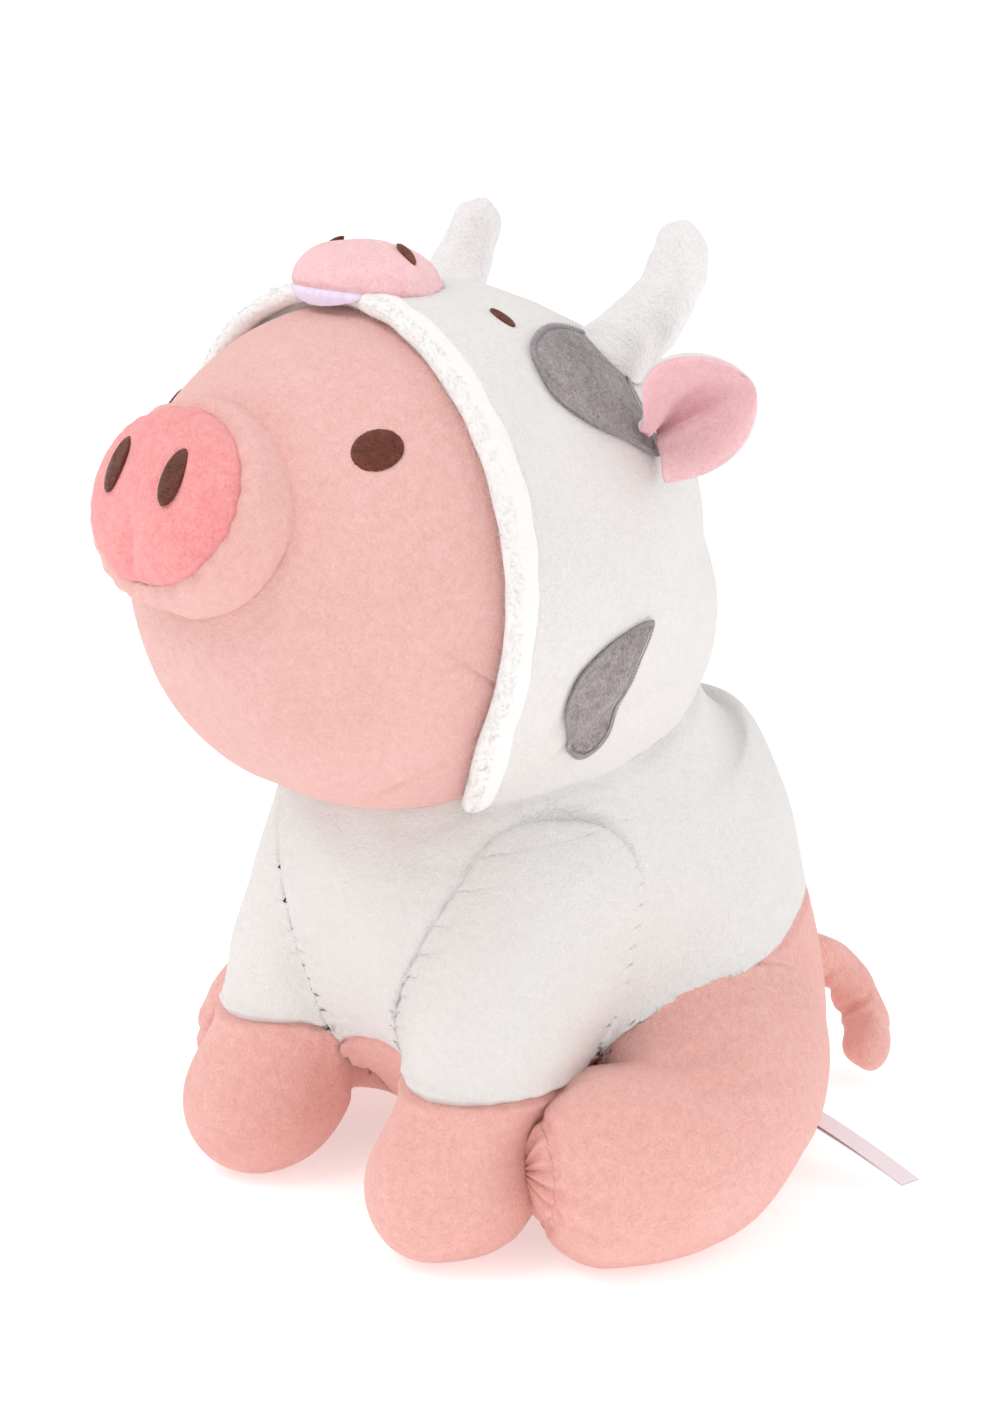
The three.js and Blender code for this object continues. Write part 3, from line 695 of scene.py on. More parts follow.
def run_on(points, normals, own, others, reach=20.0):
    """Shading normals that run on smoothly from one skin to the next. Near a neighbour they turn to
    the slope of a field that joins both forms: each form's slope weighs exp(-distance/4)."""
    out = normals.copy()
    for other in others:
        off = -other(points)
        which = np.flatnonzero(np.abs(off) < reach)
        at = points[which]
        here, there = -own(at), off[which]
        weight = 1 / (1 + np.exp(np.clip((there - here) / 4, -30, 30)))[:, None]
        joined = unit((1 - weight) * way_out(own, at, here) + weight * way_out(other, at, there))
        share = np.clip((reach - np.abs(there)) / (reach - 5), 0, 1)[:, None]
        share = share * share * (3 - 2 * share)
        out[which] = unit((1 - share) * out[which] + share * joined)
    return out


def piece(name, points, faces, material, body, replaces, slot, fill=None, thick=0.0, shading=None):
    """A finished piece: its mesh, its material, what it rides on, which solid it stands for, its
    slot, which is not used, how full it is stuffed, which is not used, its cloth's thickness and its shading
    normals."""
    made = new_object(name, points, faces)
    if thick:
        wall = made.modifiers.new("wall", "SOLIDIFY")
        wall.thickness = thick * MM
        wall.offset = -1
        wall.use_even_offset = False
        settle(made)
    made.data.materials.clear()
    made.data.materials.append(material)
    made.data.polygons.foreach_set("use_smooth", [True] * len(made.data.polygons))
    if body:
        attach(made, body)
    if replaces:
        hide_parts(replaces)
    if shading is not None:
        made.data.normals_split_custom_set_from_vertices(shading.tolist())
    print(name, "faces:", len(made.data.polygons))
    return made


# %% [markdown]
# ## Where the limbs lie
# These lines and half sizes are the toy's patterns. Every limb is a row of stations with a half
# width and a half depth. The torso is the thickest limb and leans back as it goes down.

# %% Patterns of the limbs
WAIST_HEIGHT, WAIST_AT, WAIST_TILT = 72.0, 80.0, np.radians(14)
TORSO = {
    "line": [(0, 50, 172), (0, 52, 150), (0, 55, 122), (0, 68, 92), (0, 82, 62), (0, 91, 30), (0, 94, -0.5)],
    "wide": [44, 56, 65, 71, 73, 75, 68],
    "deep": [48, 62, 78, 83, 78, 71, 64],
    "round": (22, 24),
}
FRONT_LEG = {
    "line": [(42, 34, 131), (44, 22, 104), (47, 4, 66), (47, -7, 44), (47, -13, 24), (47, -14, -0.5)],
    "wide": [27, 27, 26, 22, 25.5, 25.5],
    "deep": [27, 27, 26, 22, 27, 27],
    "round": (27, 24),
}
HIND_LEG = {
    "line": [(32, 102, 38), (61, 78, 38), (86, 38, 29.5), (66, -1, 29)],
    "wide": [38, 38, 30, 29.5],
    "deep": [38, 38, 30, 29.5],
    "round": (38, 25),
}
SOLE_DEEP = 4.0
HORN = {
    "line": [(38, 48, 260.5), (47, 69.5, 281.5), (46, 80, 303.5)],
    "wide": [12.5, 9.8, 7.5],
    "deep": [12.5, 9.8, 7.5],
    "round": (7.5, 7.5),
}
TAIL = {
    "line": [(9, 153, 45), (9, 161, 45), (12, 187, 38), (24, 192, 21), (38, 179, 9.5)],
    "wide": [8] * 5,
    "deep": [8] * 5,
    "round": (8, 8),
}
MIRROR = np.array([-1.0, 1, 1])
SIDES = ((1, "left"), (-1, "right"))


def on_side(side, points, faces):
    """A left piece as it is, or mirrored to the right, with its faces turned round again."""
    if side > 0:
        return points, faces
    return points * MIRROR, [[int(i) for i in face][::-1] for face in faces]


def depth_in_torso(points):
    """Depth in the torso."""
    return depth_in_limb(points, TORSO)


def leg_depths(limb):
    """Two functions, for the depth in the left leg and in the right one, its mirror image."""
    return [lambda p: depth_in_limb(p, limb), lambda p: depth_in_limb(p * MIRROR, limb)]


def eased(count):
    """Shares from 0 to 1 without the ends, closer together near both ends."""
    even = np.arange(1, count) / count
    return (even + (1 - np.cos(np.pi * even)) / 2) / 2


def limb_poles(limb):
    """The two end points of a limb's line."""
    return np.array(limb["line"][0], float), np.array(limb["line"][-1], float)


def stuffed(name, limb, u, cols, grow, cap, *lump):
    """A swollen limb with its lumps, as points, quads and the normals without the lumps."""
    grid = limb_skin(limb, *around(u, cols), grow)
    points, quads, _ = soft_form(name, grid, *limb_poles(limb), cap)
    normals = normals_at(points, quads)
    return lumpy(points, normals, *lump), quads, normals


# %% [markdown]
# ## The head
# A big ball of skin-coloured plush, longer to the back, where the hood covers it. The photograph
# shows a seam down the middle of the chin, a short dart on the cheek and a longer one below it.
# They are grooves in the swollen skin. The neck is open under the hood, where the body carries it.

# %% Head cover
HEAD_ROWS, HEAD_COLS = 40, 80
up = (np.arange(1, HEAD_ROWS) / HEAD_ROWS - 0.5) * np.pi
round_ = np.arange(HEAD_COLS) / HEAD_COLS * 2 * np.pi
round_ = round_ - 0.45 * np.sin(round_)  # closer together at the face
UP, ROUND = np.meshgrid(up, round_, indexing="ij")
way = np.stack([np.cos(UP) * np.sin(ROUND), -np.cos(UP) * np.cos(ROUND), np.sin(UP)], -1)
SWELL_START = -1.2  # a form starts this much smaller and is blown up again
NECK_IN = -4.5  # the head is open this far inside the torso
points, quads, _ = soft_form(
    "head",
    head_skin(way, SWELL_START),
    head_skin(np.array([0, 0, -1.0]), SWELL_START),
    head_skin(np.array([0, 0, 1.0]), SWELL_START),
    cap=2.0,
)
normals = normals_at(points, quads)
points = lumpy(points, normals, 0.5, 55, 3)
low_front = np.clip((HEAD[2] - 12 - points[:, 2]) / 25, 0, 1) * np.clip((30 - points[:, 1]) / 40, 0, 1)
valley = 1.6 * bell(points[:, 0], 8)
valley = valley - 1.3 * bell(np.abs(points[:, 0]) - 22, 14)
points = points - normals * (valley * low_front)[:, None]
chin_seam = on_head(aim(np.zeros(12), np.linspace(-12, -76, 12)))
chin = dict(deep=1.6, wide=1.1, lift=0.4, pucker=0.15, pitch=8, fade=0.04)
points = sewn(points, normals, chin_seam, **chin)
CHEEK = np.array([(64, -10.9), (68.3, -13.6), (72.6, -16.8), (77.5, -20.2)]).T
LOWER = np.array([(80, -32), (75, -35.2), (62.8, -44.1), (48.6, -53.7), (34, -61)]).T
short_dart = dict(deep=0.9, wide=0.45, lift=0.35, pucker=0.08, pitch=5, fade=0.1, draw=0.8)
long_dart = dict(deep=1.0, wide=1.3, lift=0.5, pucker=0.12, pitch=6, fade=0.25)
for side, _ in SIDES:
    for (degrees, up_degrees), dart in ((CHEEK, short_dart), (LOWER, long_dart)):
        points = sewn(points, normals, on_head(aim(side * degrees, up_degrees)), **dart)
share = np.maximum(head_share(points), 0.997)
crown = np.hypot(points[:, 0], points[:, 1]) * np.where(points[:, 2] > HEAD[2], 1, 99)
even = share[(crown > 9) & (crown < 14)].mean()  # the many thin faces at the crown are evened out
share = even + (share - even) * np.clip((crown - 5) / 7, 0, 1)
points = HEAD + (points - HEAD) * (share / head_share(points))[:, None]
middles = points[quads].mean(1)
open_neck = depth_in_limb(middles, TORSO, NECK_IN) < 0
points, quads = cut_out(points, quads, open_neck)
points, quads = walled(points, quads, normals_at(points, quads))
piece("head_skin", points, quads, skin_plush, "body", "head_cover", "skin_plush", fill=0.9)

# %% [markdown]
# ## The snout
# A short stuffed drum of skin plush with a deeper pink pillow sewn into its front. A stitch pulls
# the lower edge of the pillow up into a cleft between two lobes, and the cloth wrinkles above it.
# The whole snout looks up by 24 degrees, so it is worked out level and then turned.

# %% Snout band and pillow
NOSE_LIFT = np.radians(24)
SNOUT_DROP = 8.5
SNOUT_FRONT = 82.5
SNOUT = {
    "line": [(0, -50, 0), (0, -67, 0), (0, -84, 0)],
    "wide": [37, 37.4, 36],
    "deep": [30, 30.4, 29.5],
    "round": (3.5, 5),
}
DISC_WIDE, DISC_TALL, DISC_BULGE = 32.5, 26.5, 11.0


def lifted(points, drop=SNOUT_DROP):
    """Turns level face points up with the nose and puts them in front of the head's middle."""
    x, y, z = points[..., 0], points[..., 1], points[..., 2] - drop
    cos, sin = np.cos(-NOSE_LIFT), np.sin(-NOSE_LIFT)
    return HEAD + np.stack([x, y * cos - z * sin, y * sin + z * cos], -1)


def levelled(points, drop=SNOUT_DROP):
    """The inverse of lifted."""
    off = points - HEAD
    cos, sin = np.cos(NOSE_LIFT), np.sin(NOSE_LIFT)
    y, z = off[..., 1] * cos - off[..., 2] * sin, off[..., 1] * sin + off[..., 2] * cos
    return np.stack([off[..., 0], y, z + drop], -1)


def disc_skin(n, grow=0.0):
    """The front pillow: an egg with a notch in the lower edge, a bell 5 mm wide, and a groove
    that runs up from it."""
    x = n[..., 0] * DISC_WIDE
    low = np.maximum(-n[..., 2], 0)
    notch = 0.7 * bell(x, 5) * low**4
    ahead = np.maximum(-n[..., 1], 0) ** 0.5
    groove = 4.2 * bell(x, 3.0) * np.clip((low - 0.2) / 0.6, 0, 1) * ahead
    return np.stack(
        [
            n[..., 0] * (DISC_WIDE + grow),
            n[..., 1] * (DISC_BULGE + grow) - SNOUT_FRONT + groove,
            n[..., 2] * (DISC_TALL + grow) + notch,
        ],
        -1,
    )


OUT, TURN = around(np.linspace(0, np.pi, 46)[1:-1], 96)
pillow_way = np.stack([np.sin(OUT) * np.cos(TURN), -np.cos(OUT), np.sin(OUT) * np.sin(TURN)], -1)
points, quads, _ = soft_form(
    "snout_pillow",
    lifted(disc_skin(pillow_way, -0.3)),
    lifted(disc_skin(np.array([0, -1.0, 0]), -0.3)),
    lifted(disc_skin(np.array([0, 1.0, 0]), -0.3)),
    cap=0.6,
)
normals = normals_at(points, quads)
flat = levelled(points)
front = flat[:, 1] < -SNOUT_FRONT
edge = np.hypot(flat[:, 0] / DISC_WIDE, flat[:, 2] / DISC_TALL)
angle = np.arctan2(flat[:, 2], flat[:, 0])
gather = np.cos(angle * 30 + 2 * np.sin(angle * 5)) * bell(edge - 0.95, 0.08) * 0.14
brow = np.clip(np.sin(angle), 0, 1) ** 2 * bell(edge - 0.72, 0.2)
wrinkle = brow * np.cos(flat[:, 0] * 0.62 + 1.1 * np.sin(flat[:, 2] * 0.16)) * 0.6
lobe = np.clip(-np.sin(angle), 0, 1) * bell(edge - 0.86, 0.16)
lobe = lobe * np.cos(flat[:, 0] * 0.55) * 0.35
points = points + normals * ((gather + wrinkle + lobe) * front)[:, None]
points = lumpy(points, normals, 0.25, 18, 5)
piece("snout_front", points, quads, snout_plush, "body", "snout_disc", "snout_plush", fill=0.8)

band = limb_skin(SNOUT, *around(eased(26), 88), 0.2)
ends = [lifted(pole) for pole in limb_poles(SNOUT)]
points, quads, _ = soft_form("snout_drum", lifted(band), *ends, cap=0.8)
ahead = lifted(np.array([[0, -1.0, 0]]), 0)[0] - HEAD
points = pressed_clear(points, ahead[None], depth_in_head, 0.3)


def depth_in_pillow(points):
    """How deep points lie in the front pillow."""
    flat = levelled(points) + (0, SNOUT_FRONT, 0)
    return (1 - np.linalg.norm(flat / (DISC_WIDE, DISC_BULGE, DISC_TALL), axis=1)) * DISC_BULGE


points = pressed_clear(points, -ahead[None], depth_in_pillow, -0.4, 20)
normals = normals_at(points, quads)
flat = levelled(points)
low = np.clip(-flat[:, 2] / 30, 0, 1) ** 2
tuck = 2.6 * bell(flat[:, 0], 3.6) * low * np.clip((flat[:, 1] + 80) / 8, 0, 1)
angle = np.arctan2(flat[:, 2], flat[:, 0])
ripple = 0.3 * np.cos(angle * 26 + 1.5 * np.sin(angle * 4)) * bell(flat[:, 1] + 80, 5)
points = points - normals * (tuck + ripple - 0.3 * lumps(points, 22, 9))[:, None]
piece("snout_drum", points, quads, skin_plush, "body", "snout_band", "skin_plush", fill=0.8)

# %% [markdown]
# ## Embroidery
# Eyes and nostrils are satin stitch: threads laid side by side over a little padding. Each is a low
# dome with ridges across it, one for each thread. The ends of the threads make its edge uneven.


# %% Satin stitch
THREAD_PITCH = 0.85


def satin(name, at_skin, wide, tall, tilt, replaces, rise, sit, lean=0.0):
    """A low oval dome, (1 - r^4)^0.5 high, ridged by a cosine across the threads. at_skin turns flat
    offsets and a height into points on what carries it; sit is how far its edge stands off that, and lean
    turns the threads."""
    R, T = around(np.linspace(0, 1, 30)[1:], 140)
    x, y = R * wide * np.cos(T), R * tall * np.sin(T)
    thread = (x * np.cos(lean) + y * np.sin(lean)) * 2 * np.pi / THREAD_PITCH
    ragged = 1 + 0.012 * R**4 * np.cos(thread)
    x, y = x * ragged, y * ragged
    height = rise * (1 - R**4) ** 0.5 + 0.13 * np.cos(thread) * (1 - R**8)
    c, s = np.cos(tilt), np.sin(tilt)
    top = at_skin(x * c - y * s, x * s + y * c, height + sit)
    under = at_skin((x * c - y * s) * 0.99, (x * s + y * c) * 0.99, 0 * height - 0.5)
    grid = np.vstack([top, under[::-1][1:]])
    first = at_skin(np.zeros(1), np.zeros(1), np.array([rise + sit]))[0]
    last = at_skin(np.zeros(1), np.zeros(1), np.array([-0.5]))[0]
    points, faces = closed_skin(grid, first, last)
    piece(name, points, faces, brown_thread, "body", replaces, "thread")


def face_skin(side_degrees, up_degrees, side=1):
    """at_skin for an eye: offsets in the plane across its direction, carried out to the head."""
    a, e = np.radians(side_degrees), np.radians(up_degrees)
    level = np.array([[np.sin(a) * np.cos(e), -np.cos(a) * np.cos(e), np.sin(e)]])
    out = unit(lifted(level, 0)[0] - HEAD)
    right = unit(np.cross([0, 0, 1.0], out))
    top = np.cross(out, right)
    nominal = np.linalg.norm(on_head(out[None])[0] - HEAD)

    def at_skin(x, y, height):
        way = unit(out * nominal + x[..., None] * right + y[..., None] * top)
        points = on_head(way) + way * height[..., None]
        return points * (MIRROR if side < 0 else 1)

    return at_skin


def pillow_at(across, upward, side=1):
    """at_skin for a nostril: offsets on the front pillow's own egg."""

    def at_skin(x, y, height):
        px, pz = across + x, upward + y
        inside = np.maximum(1 - (px / DISC_WIDE) ** 2 - (pz / DISC_TALL) ** 2, 0)
        py = -np.sqrt(inside) * DISC_BULGE - SNOUT_FRONT - height
        points = lifted(np.stack([px, py, pz], -1))
        return points * (MIRROR if side < 0 else 1)

    return at_skin


for side, word in SIDES:
    eye, nostril = face_skin(42, 15.5, side), pillow_at(13.6, 4.5, side)
    satin(f"eye_{word}_stitched", eye, 7.5, 6.2, np.radians(18), f"eye_{word}", 0.5, 0.8, lean=0.9)
    satin(f"nostril_{word}_stitched", nostril, 3.8, 8.6, 0.0, f"nostril_{word}", 0.6, 0.4, lean=1.57)

# %% [markdown]
# ## The body cover
# The torso is one swollen form sewn from two covers: the white upper one belongs to the outfit, the
# lower one is pink. Rows of the grid are bent so that one of them lies on the colour seam, which
# drops towards the belly. The cover is pressed in where the head sits on it, and it runs smoothly
# into the legs, which are sewn on.


# %% Torso
def waist_height(points):
    """Height of the colour seam: a level plane that is tilted, so that it rises to the back."""
    return WAIST_HEIGHT + (points[..., 1] - WAIST_AT) * np.tan(WAIST_TILT)


def share_at(limb, angles, height):
    """For each angle, the share of the way along at which the skin first passes below a height."""
    u = np.linspace(0.02, 0.98, 400)
    U, A = np.meshgrid(u, angles, indexing="ij")
    skin = limb_skin(limb, U, A)
    over = skin[..., 2] - height(skin)
    first = np.argmax(over < 0, axis=0)
    cols = np.arange(len(angles))
    a, b = over[first - 1, cols], over[first, cols]
    return u[first - 1] + (u[1] - u[0]) * a / (a - b)


def split_grid(limb, cols, above, below, height, grow):
    """A limb's grid whose rows are spread so that row number `above` lies on a given height."""
    angles = np.arange(cols) / cols * 2 * np.pi
    seam = share_at(limb, angles, height)
    even = np.concatenate([np.linspace(0, 0.5, above + 2)[1:], np.linspace(0.5, 1, below + 2)[1:-1]])
    spread = 0.225 * (1 - np.cos(np.pi * even)) + 0.55 * even
    low = spread[:, None] * 2 * seam[None]
    high = seam[None] + (spread[:, None] - 0.5) * 2 * (1 - seam[None])
    U = np.where(even[:, None] <= 0.5, low, high)
    A = np.broadcast_to(angles, U.shape)
    part = np.broadcast_to((np.arange(len(even) - 1) >= above)[:, None], (len(even) - 1, cols))
    return limb_skin(limb, U, A, grow), part.astype(int)


SEAM_ROW = 26
LEG_REACH, THIGH_REACH = 26, 22  # how far off the corners to the legs are rounded


def two_covers(name, limb, cols, below, height, grow, cap):
    """A swollen limb sewn from two covers: points, quads, which cover each quad is of, and the seam
    as a closed line. The cloth holds the seam's row."""
    grid, part = split_grid(limb, cols, SEAM_ROW, below, height, grow)
    hold = np.zeros(grid.shape[0] * cols + 2, bool)
    hold[1 + SEAM_ROW * cols : 1 + (SEAM_ROW + 1) * cols] = True
    points, quads, parts = soft_form(name, grid, *limb_poles(limb), cap, hold, part)
    return points, quads, parts, np.vstack([grid[SEAM_ROW], grid[SEAM_ROW][:1]])


points, quads, parts, waist_line = two_covers("torso", TORSO, 96, 22, waist_height, SWELL_START, 2.4)
normals = normals_at(points, quads)
points = points + normals * (0.9 * lumps(points, 60, 11) + 0.3 * lumps(points, 22, 12))[:, None]
nape = (np.abs(points) - (15, 121, 140)) / (22, 14, 14)  # the filling lies close under the cover there
points = points + normals * (3.0 * np.exp(-(nape**2).sum(1)))[:, None]
points = sewn(points, normals, waist_line, deep=0.9, wide=1.2, lift=0.3, pucker=0.12, pitch=11, draw=0.4)
legs, thighs = leg_depths(FRONT_LEG), leg_depths(HIND_LEG)
for leg, thigh in zip(legs, thighs):
    points = merged(points, normals, leg, LEG_REACH, 0.3)
    points = merged(points, normals, thigh, THIGH_REACH, 0.3)
off_hood = (head_share(points, 5.2, True) - 1) * 88
behind = np.clip((points[:, 1] + 16) / 8, 0, 1)
points = points - normals * (0.9 * behind * bell(off_hood - 0.5, 2.4))[:, None]
outward = unit(points - HEAD)
points = pressed_clear(points, outward, depth_in_head, -1.0)
points[:, 2] = np.maximum(points[:, 2], 0.0)
normals = normals_at(points, quads)
smoothed = run_on(points, normals, depth_in_torso, legs + thighs)
for name, some, cloth, node, slot in (
    ("body_upper", parts == 0, white_plush, "torso_upper", "white_plush"),
    ("body_lower", parts == 1, paw_plush, "torso_lower", "paw_plush"),
):
    used = np.unique(quads[some])
    cover_points, cover_quads = walled(*cut_out(points, quads, some), normals[used], 1.0)
    shading = np.vstack([smoothed[used], -smoothed[used]])
    piece(name, cover_points, cover_quads, cloth, "body", node, slot, fill=0.85, shading=shading)

# %% [markdown]
# ## Front legs
# Each front leg is a stuffed limb that hangs from the shoulder and stands on the floor. Its white
# sleeve is sewn to the pink paw at a cuff a little above the floor.

# %% Sleeves and paws
def cuff_height(points):
    """The same height all round."""
    return 53.0 + 0 * points[..., 2]


points, quads, parts, cuff_line = two_covers("front_leg", FRONT_LEG, 64, 16, cuff_height, -0.8, 2.0)
normals = normals_at(points, quads)
points = lumpy(points, normals, 0.6, 34, 21)
points = merged(points, normals, depth_in_torso, LEG_REACH)
normals = normals_at(points, quads)
points = sewn(points, normals, cuff_line, deep=1.8, wide=1.1, lift=0.9, pucker=0.3, pitch=10, draw=0.5)
outer = limb_skin(FRONT_LEG, np.linspace(0.74, 0.97, 20), np.full(20, np.radians(-35)))
points = sewn(points, normals, outer, deep=1.2, wide=0.9, lift=0.4, fade=0.25)
for place, deep in ((0.5, 1.0), (0.6, 0.7)):
    share = place + 0.03 * np.sin(np.linspace(0, 3, 20))
    bend = limb_skin(FRONT_LEG, share, np.radians(np.linspace(150, 300, 20)))
    points = sewn(points, normals, bend, deep=deep, wide=3.0, lift=0.4, fade=0.5, draw=0.2)
points = pressed_clear(points, unit(points - HEAD), depth_in_head, 0.2)
points[:, 2] = np.maximum(points[:, 2], 0.0)
smoothed = run_on(points, normals_at(points, quads), legs[0], [depth_in_torso])
sleeve_ways = smoothed[np.unique(quads[parts == 0])]
sleeve_ways = np.vstack([sleeve_ways, [[0, 0, -1.0]]])
upper = capped(*cut_out(points, quads, parts == 0), np.array([0, 0, 5.0]))
lower = capped(*cut_out(points, quads, parts == 1), np.array([0, 0, -5.0]))
for side, word in SIDES:
    sleeve = piece(
        f"sleeve_{word}_cover", *on_side(side, *upper), white_plush, None, f"sleeve_{word}",
        "white_plush", fill=0.8, shading=sleeve_ways * (1 if side > 0 else MIRROR),
    )
    start, end = placed([(side * 44, 24, 112), (side * 46, 6, 70)])
    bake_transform(sleeve)
    piece(
        f"paw_{word}_cover", *on_side(side, *lower), paw_plush, f"front_leg_{word}",
        f"front_paw_{word}", "paw_plush", fill=0.85,
    )

# %% [markdown]
# ## Hind legs
# The hind legs lie on the floor and bend in towards the front paws. Each foot is closed by an oval
# sole, and the leg's cloth is gathered into that seam, so wrinkles fan out from it.

# %% Hind legs and soles
def along_toe(points):
    """How far points lie short of the sole's seam, towards the tip of the foot."""
    tip, knee = np.array(HIND_LEG["line"][-1]), np.array(HIND_LEG["line"][-2])
    toe = unit(tip - knee)
    return (points - (tip - toe * SOLE_DEEP)) @ toe


u = np.linspace(0, 1, 52)[1:-1]
u = 0.3 * u + 0.7 * (1 - np.cos(np.pi * u**0.8)) / 2
points, quads, normals = stuffed("hind_leg", HIND_LEG, u, 72, -0.8, 2.2, 0.6, 36, 31)
points = merged(points, normals, depth_in_torso, THIGH_REACH)
normals = normals_at(points, quads)
reach = along_toe(points)
middle, forward, across, upward, sizes, long = limb_frame(HIND_LEG, np.array([0.9]))
off = points - middle[0]
spin = np.arctan2(off @ upward[0], off @ across[0])
front = np.clip((40 - points[:, 1]) / 12, 0, 1)
groove = 1.3 * bell(reach, 1.1) - 0.5 * bell(reach + 3.5, 2.5)
fan = np.clip(np.cos(spin * 13 + 1.8 * np.sin(spin * 3)), -0.6, 1)
folds = 1.1 * fan * bell(reach + 6, 8) * (0.6 + 0.4 * np.cos(spin * 2 + 1))
sole_folds = 0.8 * np.cos(spin * 17 + 1.3 * np.sin(spin * 3)) * bell(reach - 2.5, 3.5)
points = points - normals * ((groove + folds + sole_folds) * front)[:, None]
CREASES = ((0.9, (0.5, 60), (0.6, 78), (0.7, 100)), (0.7, (0.46, 20), (0.56, 40), (0.66, 66)))
for deep, *crease in CREASES:  # the depth, then shares along the leg and degrees around it
    share, angle = np.array(crease).T
    line = limb_skin(HIND_LEG, share, np.radians(angle))
    points = sewn(points, normals, line, deep=deep, wide=2.4, lift=0.6, fade=0.5, draw=0.3)
points[:, 2] = np.maximum(points[:, 2], 0.0)
foot_end = (along_toe(points[quads].mean(1)) > 0) & (points[quads].mean(1)[:, 1] < 30)
thigh_ways = run_on(points, normals_at(points, quads), thighs[0], [depth_in_torso])
thigh_ways = np.vstack([thigh_ways[np.unique(quads[~foot_end])], [[0, -1.0, 0]]])
leg = capped(*cut_out(points, quads, ~foot_end), np.array([2.0, 6, 0]))
sole = capped(*cut_out(points, quads, foot_end), np.array([0.0, -1, 0]))
for side, word in SIDES:
    piece(
        f"hind_leg_{word}_cover", *on_side(side, *leg), paw_plush, "body", f"hind_leg_{word}",
        "paw_plush", fill=0.8, shading=thigh_ways * (1 if side > 0 else MIRROR),
    )
    piece(
        f"sole_{word}_cover", *on_side(side, *sole), paw_plush, "body", f"foot_sole_{word}",
        "paw_plush", fill=0.7,
    )

# %% [markdown]
# ## The hood
# The hood is a lined cap round the back half of the head: white plush outside, thin lavender cloth
# inside, and a rolled plush rim round the face. Its grid runs from the rim to the back of the
# head. Where it dives into the body it is cut off just under the body's skin, as if sewn round the
# neckline. Soft folds fan out from its lower front corner, where the cloth is pulled to the seam.

# %% Hood shell and lining
RIM_AT = -15.5  # where the shell starts, under the rim
LINING = 1.2
SHELL_IN = 1.55
HOOD_PLUSH = 3.6
SHELL_OUT = SHELL_IN + HOOD_PLUSH
FOLDS = ((22, 9, 1.6), (48, 7, 1.9), (72, 8, 1.5), (98, 9, 1.0))  # direction, width in degrees, depth


def hood_relief(way):
    """How far the hood's cloth stands off its form: slow lumps, and on each side four hollow folds
    that fan out from the lower front corner, each a bell across its direction from there."""
    ball = way * 95
    relief = 0.7 * lumps(ball, 55, 41) + 0.2 * lumps(ball, 22, 42)
    across = np.abs(way[:, 0])
    corner = aim(90, -54)
    to_back, to_top = way[:, 1] - corner[1], way[:, 2] - corner[2]
    far = np.hypot(to_back, to_top)
    turn = np.degrees(np.arctan2(to_top, to_back))
    strength = bell(far - 0.42, 0.3) * np.clip(across * 3, 0, 1)
    for to, wide, deep in FOLDS:
        relief -= deep * strength * bell(turn - to - 6 * np.sin(far * 6), wide)
    return relief


def on_hood(way, height=0.0):
    """A point on the hood's plush towards a unit direction, with its relief, at a height over it."""
    flat = way.reshape(-1, 3)
    lift = hood_relief(flat) + np.broadcast_to(height, way.shape[:-1]).reshape(-1)
    return (on_head(flat, SHELL_OUT, True) + flat * lift[:, None]).reshape(way.shape)


def hood_cap(name, grow, rows, cols):
    """A refined cap round the front-to-back axis, from a ring at RIM_AT to the pole at the back."""
    start = np.arccos(np.clip(RIM_AT / (HEAD_FRONT + grow + HOOD_EASE), -1, 1))
    T, P = around(np.linspace(start, 0, rows + 1)[:-1], cols)
    way = np.stack([np.sin(T) * np.sin(P), np.cos(T), np.sin(T) * np.cos(P)], -1)
    grid, pole = head_skin(way, grow, True), head_skin(np.array([0, 1.0, 0]), grow, True)
    points, quads, _ = refined(new_object(name, *closed_skin(grid, grid[0].mean(0), pole)))
    return points, quads


points, quads = hood_cap("hood_form", SHELL_OUT, 34, 88)
way = unit(points - HEAD)
points = points + way * hood_relief(way)[:, None]


RIM_Y = -16.5
RIM_END = np.radians(148)
RIM_BACK = 14.0  # how far the rim's lower ends lie behind its plane


def from_crown(points):
    """Angles round the face, 0 at the crown."""
    return np.arctan2(points[:, 0], points[:, 2] - HEAD[2])


def rim_y(angle):
    """Where the rim lies at an angle from the crown: on a plane, then drawn back to its lower ends."""
    lower = np.clip((np.abs(angle) - np.radians(118)) / np.radians(30), 0, 1)
    return RIM_Y + RIM_BACK * lower**1.6


def behind_rim(points):
    """Which points lie behind the middle of the rim."""
    return points[:, 1] > rim_y(from_crown(points)) + RIM_AT - RIM_Y + 0.4


def within_rim(points):
    """Which points lie on the hood's side of its lower front corners, where the rim ends."""
    return (np.abs(from_crown(points)) < np.radians(149)) | (points[:, 1] > 35)


middles = points[quads].mean(1)
keep = (depth_in_torso(middles) < 1.0) & within_rim(middles) & behind_rim(middles)
points, quads = cut_out(points, quads, keep)
normals = normals_at(points, quads)
hem = bell(depth_in_torso(points), 3.0)
points = points + normals * (0.7 * hem)[:, None]
piece("hood_cover", points, quads, white_plush, "body", "hood_shell", "white_plush", thick=HOOD_PLUSH - 0.4)

points, quads = hood_cap("lining_form", LINING, 26, 64)
middles = points[quads].mean(1)
keep = (depth_in_torso(middles) < 0.5) & within_rim(middles) & behind_rim(middles)
points, quads = cut_out(points, quads, keep)
piece("hood_lining_cloth", points, quads, lavender_cloth, "body", "hood_lining", "lavender_lining", thick=1.0)

# %% Rolled rim with its pile
RIM_RADIUS = 3.3


